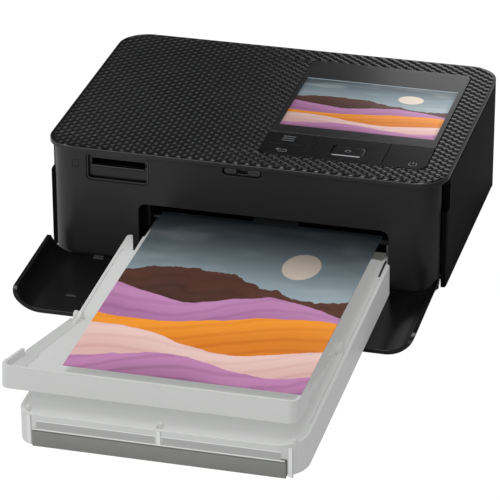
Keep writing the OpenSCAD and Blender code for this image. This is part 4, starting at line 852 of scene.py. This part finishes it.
def tray_ramp():
    """Sloped border on the left of the tray's floor, along the flared wall and the step on its inner side. It
    is darker than the frosted plastic, with less glow: painted shade.
    Its width grows straight from narrow to wide. Its height is low + rise (1 - s)^2, s = 0 at the wall."""
    rows, cols = 14, 9
    y0, y1 = -5.0, -65.0
    narrow, wide, low, rise, under = 5.0, 6.4, 0.02, 0.55, -0.05
    wall_x, flare, flare_y, flare_l = -50.6, 9.5, -4.0, 63.0
    step_w, step_y, step_l = 1.45, -49.5, 1.5
    y = np.linspace(y0, y1, rows)[:, None]
    s = np.linspace(0, 1, cols)[None]
    wall = wall_x - flare * np.clip((flare_y - y) / flare_l, 0, 1)
    wall = wall + step_w * np.clip((step_y - y) / step_l, 0, 1)
    x = wall + s * (narrow + (wide - narrow) * (y0 - y) / (y0 - y1))
    z = low + rise * (1 - s) ** 2 + 0 * y
    top = np.stack([x, np.broadcast_to(y, x.shape), z], -1).reshape(-1, 3)
    base = top * (1, 1, 0) + (0, 0, under)
    n = rows * cols
    sheet = grid_faces(rows, cols, wrap_cols=False)
    loop = np.concatenate([np.arange(cols - 1), np.arange(rows - 1) * cols + cols - 1,
                           n - 1 - np.arange(cols - 1), (rows - 1 - np.arange(rows - 1)) * cols])
    nxt = np.roll(loop, -1)
    sides = np.stack([loop, nxt, nxt + n, loop + n], -1)
    o = add_mesh("tray_floor_border", metres(on_tray(np.vstack([top, base]))),
                 np.vstack([sheet, sheet[:, ::-1] + n, sides]), BORDER, "tray")
    turn_outwards(o)


def cassette_front():
    """Flat ribs on the front wall: bands above the grey bar in painted shade, light edges and three posts in
    painted light, and dark joints beside the posts; and the slot beside the lid's right rim, as a dark strip of
    painted shade from the mouth forward."""
    x0, x1, left, right = -42.0, 60.2, 8.0, 11.0
    band_z, bar_z, edge_z, post_z = 9.8, 7.75, 11.75, 14.1
    # name, x and z of both ends, width, finish, how far it stands out
    ribs = [("band_left", x0, band_z, left, band_z, 3.4, BAND_SHADE_AND_JOINT, 0.03),
            ("band_right", right, band_z, x1, band_z, 3.4, BAND_SHADE_AND_JOINT, 0.03),
            ("bar_upper_edge", -44.0, bar_z, 61.8, bar_z, 0.6, PAINTED_LIGHT_RIB, 0.12),
            ("band_upper_edge", x0, edge_z, x1, edge_z, 0.45, PAINTED_LIGHT_RIB, 0.08)]
    for name, x, low in (("post_left", -45.3, 0.6), ("post_middle", 9.5, 8.1), ("post_right", 64.2, 0.6)):
        ribs.append((name, x, low, x, post_z, 1.5, PAINTED_LIGHT_RIB, 0.12))
        ribs.append((name + "_joint", x + 1.0, low, x + 1.0, post_z, 0.4, BAND_SHADE_AND_JOINT, 0.06))
    for name, xa, za, xb, zb, width, mat, out in ribs:
        path = line(xa, za, xb, zb, 5)
        o = ribbon(name, path, width, -0.1, out, mat, "cassette", place=on_cassette_front)
    # The slot is a dark strip of painted shade
    slot_path = line(66.9, -2.2, 67.05, -17.5, 6)
    o = ribbon("lid_slot_right", slot_path, 0.85, 14.6, 14.86, SHADE, "cassette", place=on_cassette)


tray_ramp()
cassette_front()
dress(PAPER, "paper_stack")
dress(BAR, "lift_plate")
dress(STEEL, "lift_springs")
dress(PRINT, "print_sheet")

# ---------------------------------------------------------------- inside
dress(BLACKED, "chassis", "feed_motor")
# Shafts that show in the mouth are dark grey
dress(DARK_STEEL, "capstan", "platen_shaft", "pickup_shaft")
dress(STEEL, "hinge_pins", "case_screws", "idler_pin", "head_arm", "head_pivot", "lever_pin", "data_port")
dress(ALUMINIUM, "heat_sink")
dress(BRASS, "motor_pinion")
# Gears that show in the mouth are dark grey
dress(NYLON, "capstan_gear", "idler_gear", "pad_gimbal")
dress(RUBBER, "platen_sleeve", "pickup_tyre")
dress(TRIM, "paper_guide", "power_inlet", "pinch_roller", "eject_lever")
dress(BOARD, "key_board", "main_board")
dress(SHELL, "ribbon_case")
dress(DYE, "ribbon_film", "supply_spool", "takeup_spool")
dress(CERAMIC, "print_head")


# ---------------------------------------------------------------- studio
def white_to_camera(w, scene_shader, white_shader, factor, out):
    """Mixes the shader that lights the scene with the white one, which only the camera's own rays see."""
    mix = w.node("ShaderNodeMixShader")
    w.put(mix.inputs[0], factor)
    w.tree.links.new(scene_shader.outputs[0], mix.inputs[1])
    w.tree.links.new(white_shader.outputs[0], mix.inputs[2])
    w.tree.links.new(mix.outputs[0], out.inputs["Surface"])


def surround():
    """World: dim behind, brighter in front and to the left, and white to the camera."""
    world = bpy.data.worlds.new("studio")
    world.use_nodes = True
    world.node_tree.nodes.clear()
    w = Web(world.node_tree)
    x, y = w.split(w.node("ShaderNodeTexCoord").outputs["Generated"])[:2]
    fill = w.node("ShaderNodeBackground")
    fill.inputs["Color"].default_value = (1, 1, 1, 1)
    strength = w.math("MULTIPLY", w.ramp(y, -0.3, 0.75, 0.62, 0.06), w.ramp(x, -0.5, 0.7, 1.0, 0.35))
    w.put(fill.inputs["Strength"], strength)
    white = w.node("ShaderNodeBackground")
    white.inputs["Strength"].default_value = 1.0
    camera_ray = w.node("ShaderNodeLightPath").outputs["Is Camera Ray"]
    white_to_camera(w, fill, white, camera_ray, w.node("ShaderNodeOutputWorld"))
    bpy.context.scene.world = world


def under_case(w, x, y):
    """Mask in plan: 1 under the case, soft at its edges, with the right front corner rounded. In metres."""
    lo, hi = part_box("top_cover")
    across = w.math("MULTIPLY", w.step(x, lo.x - 0.002, lo.x), w.step(x, hi.x, hi.x - 0.004))
    along = w.math("MULTIPLY", w.step(y, lo.y + 0.008, lo.y + 0.013), w.step(y, hi.y, hi.y - 0.02))
    # Distance past the corner's centre, which stands in from both sides by the lid's corner radius
    r = LID_R * MM
    over_x = w.math("MAXIMUM", w.math("SUBTRACT", x, hi.x - r), 0.0)
    over_y = w.math("MAXIMUM", w.math("SUBTRACT", lo.y + r, y), 0.0)
    corner = w.step(w.length(over_x, over_y), 0.0105, 0.0080)
    return w.math("MULTIPLY", corner, w.math("MULTIPLY", across, along))


def floor():
    """Pale floor, darker to the right. The camera sees it white with a faint shadow, but as it is under the
    case."""
    m, w, bsdf, obj = material("floor_pale")
    x, y = w.split(obj)[:2]
    pale = w.mix(w.noise(obj, 3), (0.66, 0.66, 0.66, 1), (0.70, 0.70, 0.70, 1))
    w.put(bsdf.inputs["Base Color"], w.mix(w.step(x, 0.0, 0.3), pale, (0.12, 0.12, 0.12, 1)))
    bsdf.inputs["Roughness"].default_value = 0.9
    bsdf.inputs["Specular IOR Level"].default_value = 0.0
    white = w.node("ShaderNodeEmission")
    white.inputs["Strength"].default_value = 1.07
    camera_ray = w.node("ShaderNodeLightPath").outputs["Is Camera Ray"]
    clear = w.math("SUBTRACT", 1.0, under_case(w, x, y))
    factor = w.math("MULTIPLY", w.math("MULTIPLY", camera_ray, 0.94), clear)
    out = next(n for n in m.node_tree.nodes if n.type == "OUTPUT_MATERIAL")
    white_to_camera(w, bsdf, white, factor, out)
    half = 4.0
    me = bpy.data.meshes.new("floor")
    square = [(-half, -half, 0), (half, -half, 0), (half, half, 0), (-half, half, 0)]
    me.from_pydata(square, [], [(0, 1, 2, 3)])
    me.materials.append(m)
    o = bpy.data.objects.new("floor", me)
    bpy.context.scene.collection.objects.link(o)


def lamp(name, at, size, power):
    """Soft rectangular lamp that looks at the middle of the case."""
    d = bpy.data.lights.new(name, "AREA")
    d.shape = "RECTANGLE"
    d.size, d.size_y = size
    d.energy = power
    o = bpy.data.objects.new(name, d)
    o.location = at
    o.rotation_mode = "QUATERNION"
    o.rotation_quaternion = (Vector(at) - Vector((0, 0, 0.03))).to_track_quat("Z", "Y")
    bpy.context.scene.collection.objects.link(o)


surround()
floor()
lamp("key_lamp", (-0.35, 0.5, 1.7), (1.2, 1.2), 24)
lamp("back_lamp", (0.22, 1.6, 0.42), (1.0, 0.68), 2.3)
lamp("front_lamp", (0.2, -1.9, 0.9), (1.4, 0.8), 9)
lamp("left_lamp", (-1.5, -0.9, 0.8), (0.5, 1.0), 8)
lamp("right_lamp", (1.3, -1.1, 0.9), (1.0, 1.0), 1.1)
bpy.context.scene.view_settings.view_transform = "Standard"
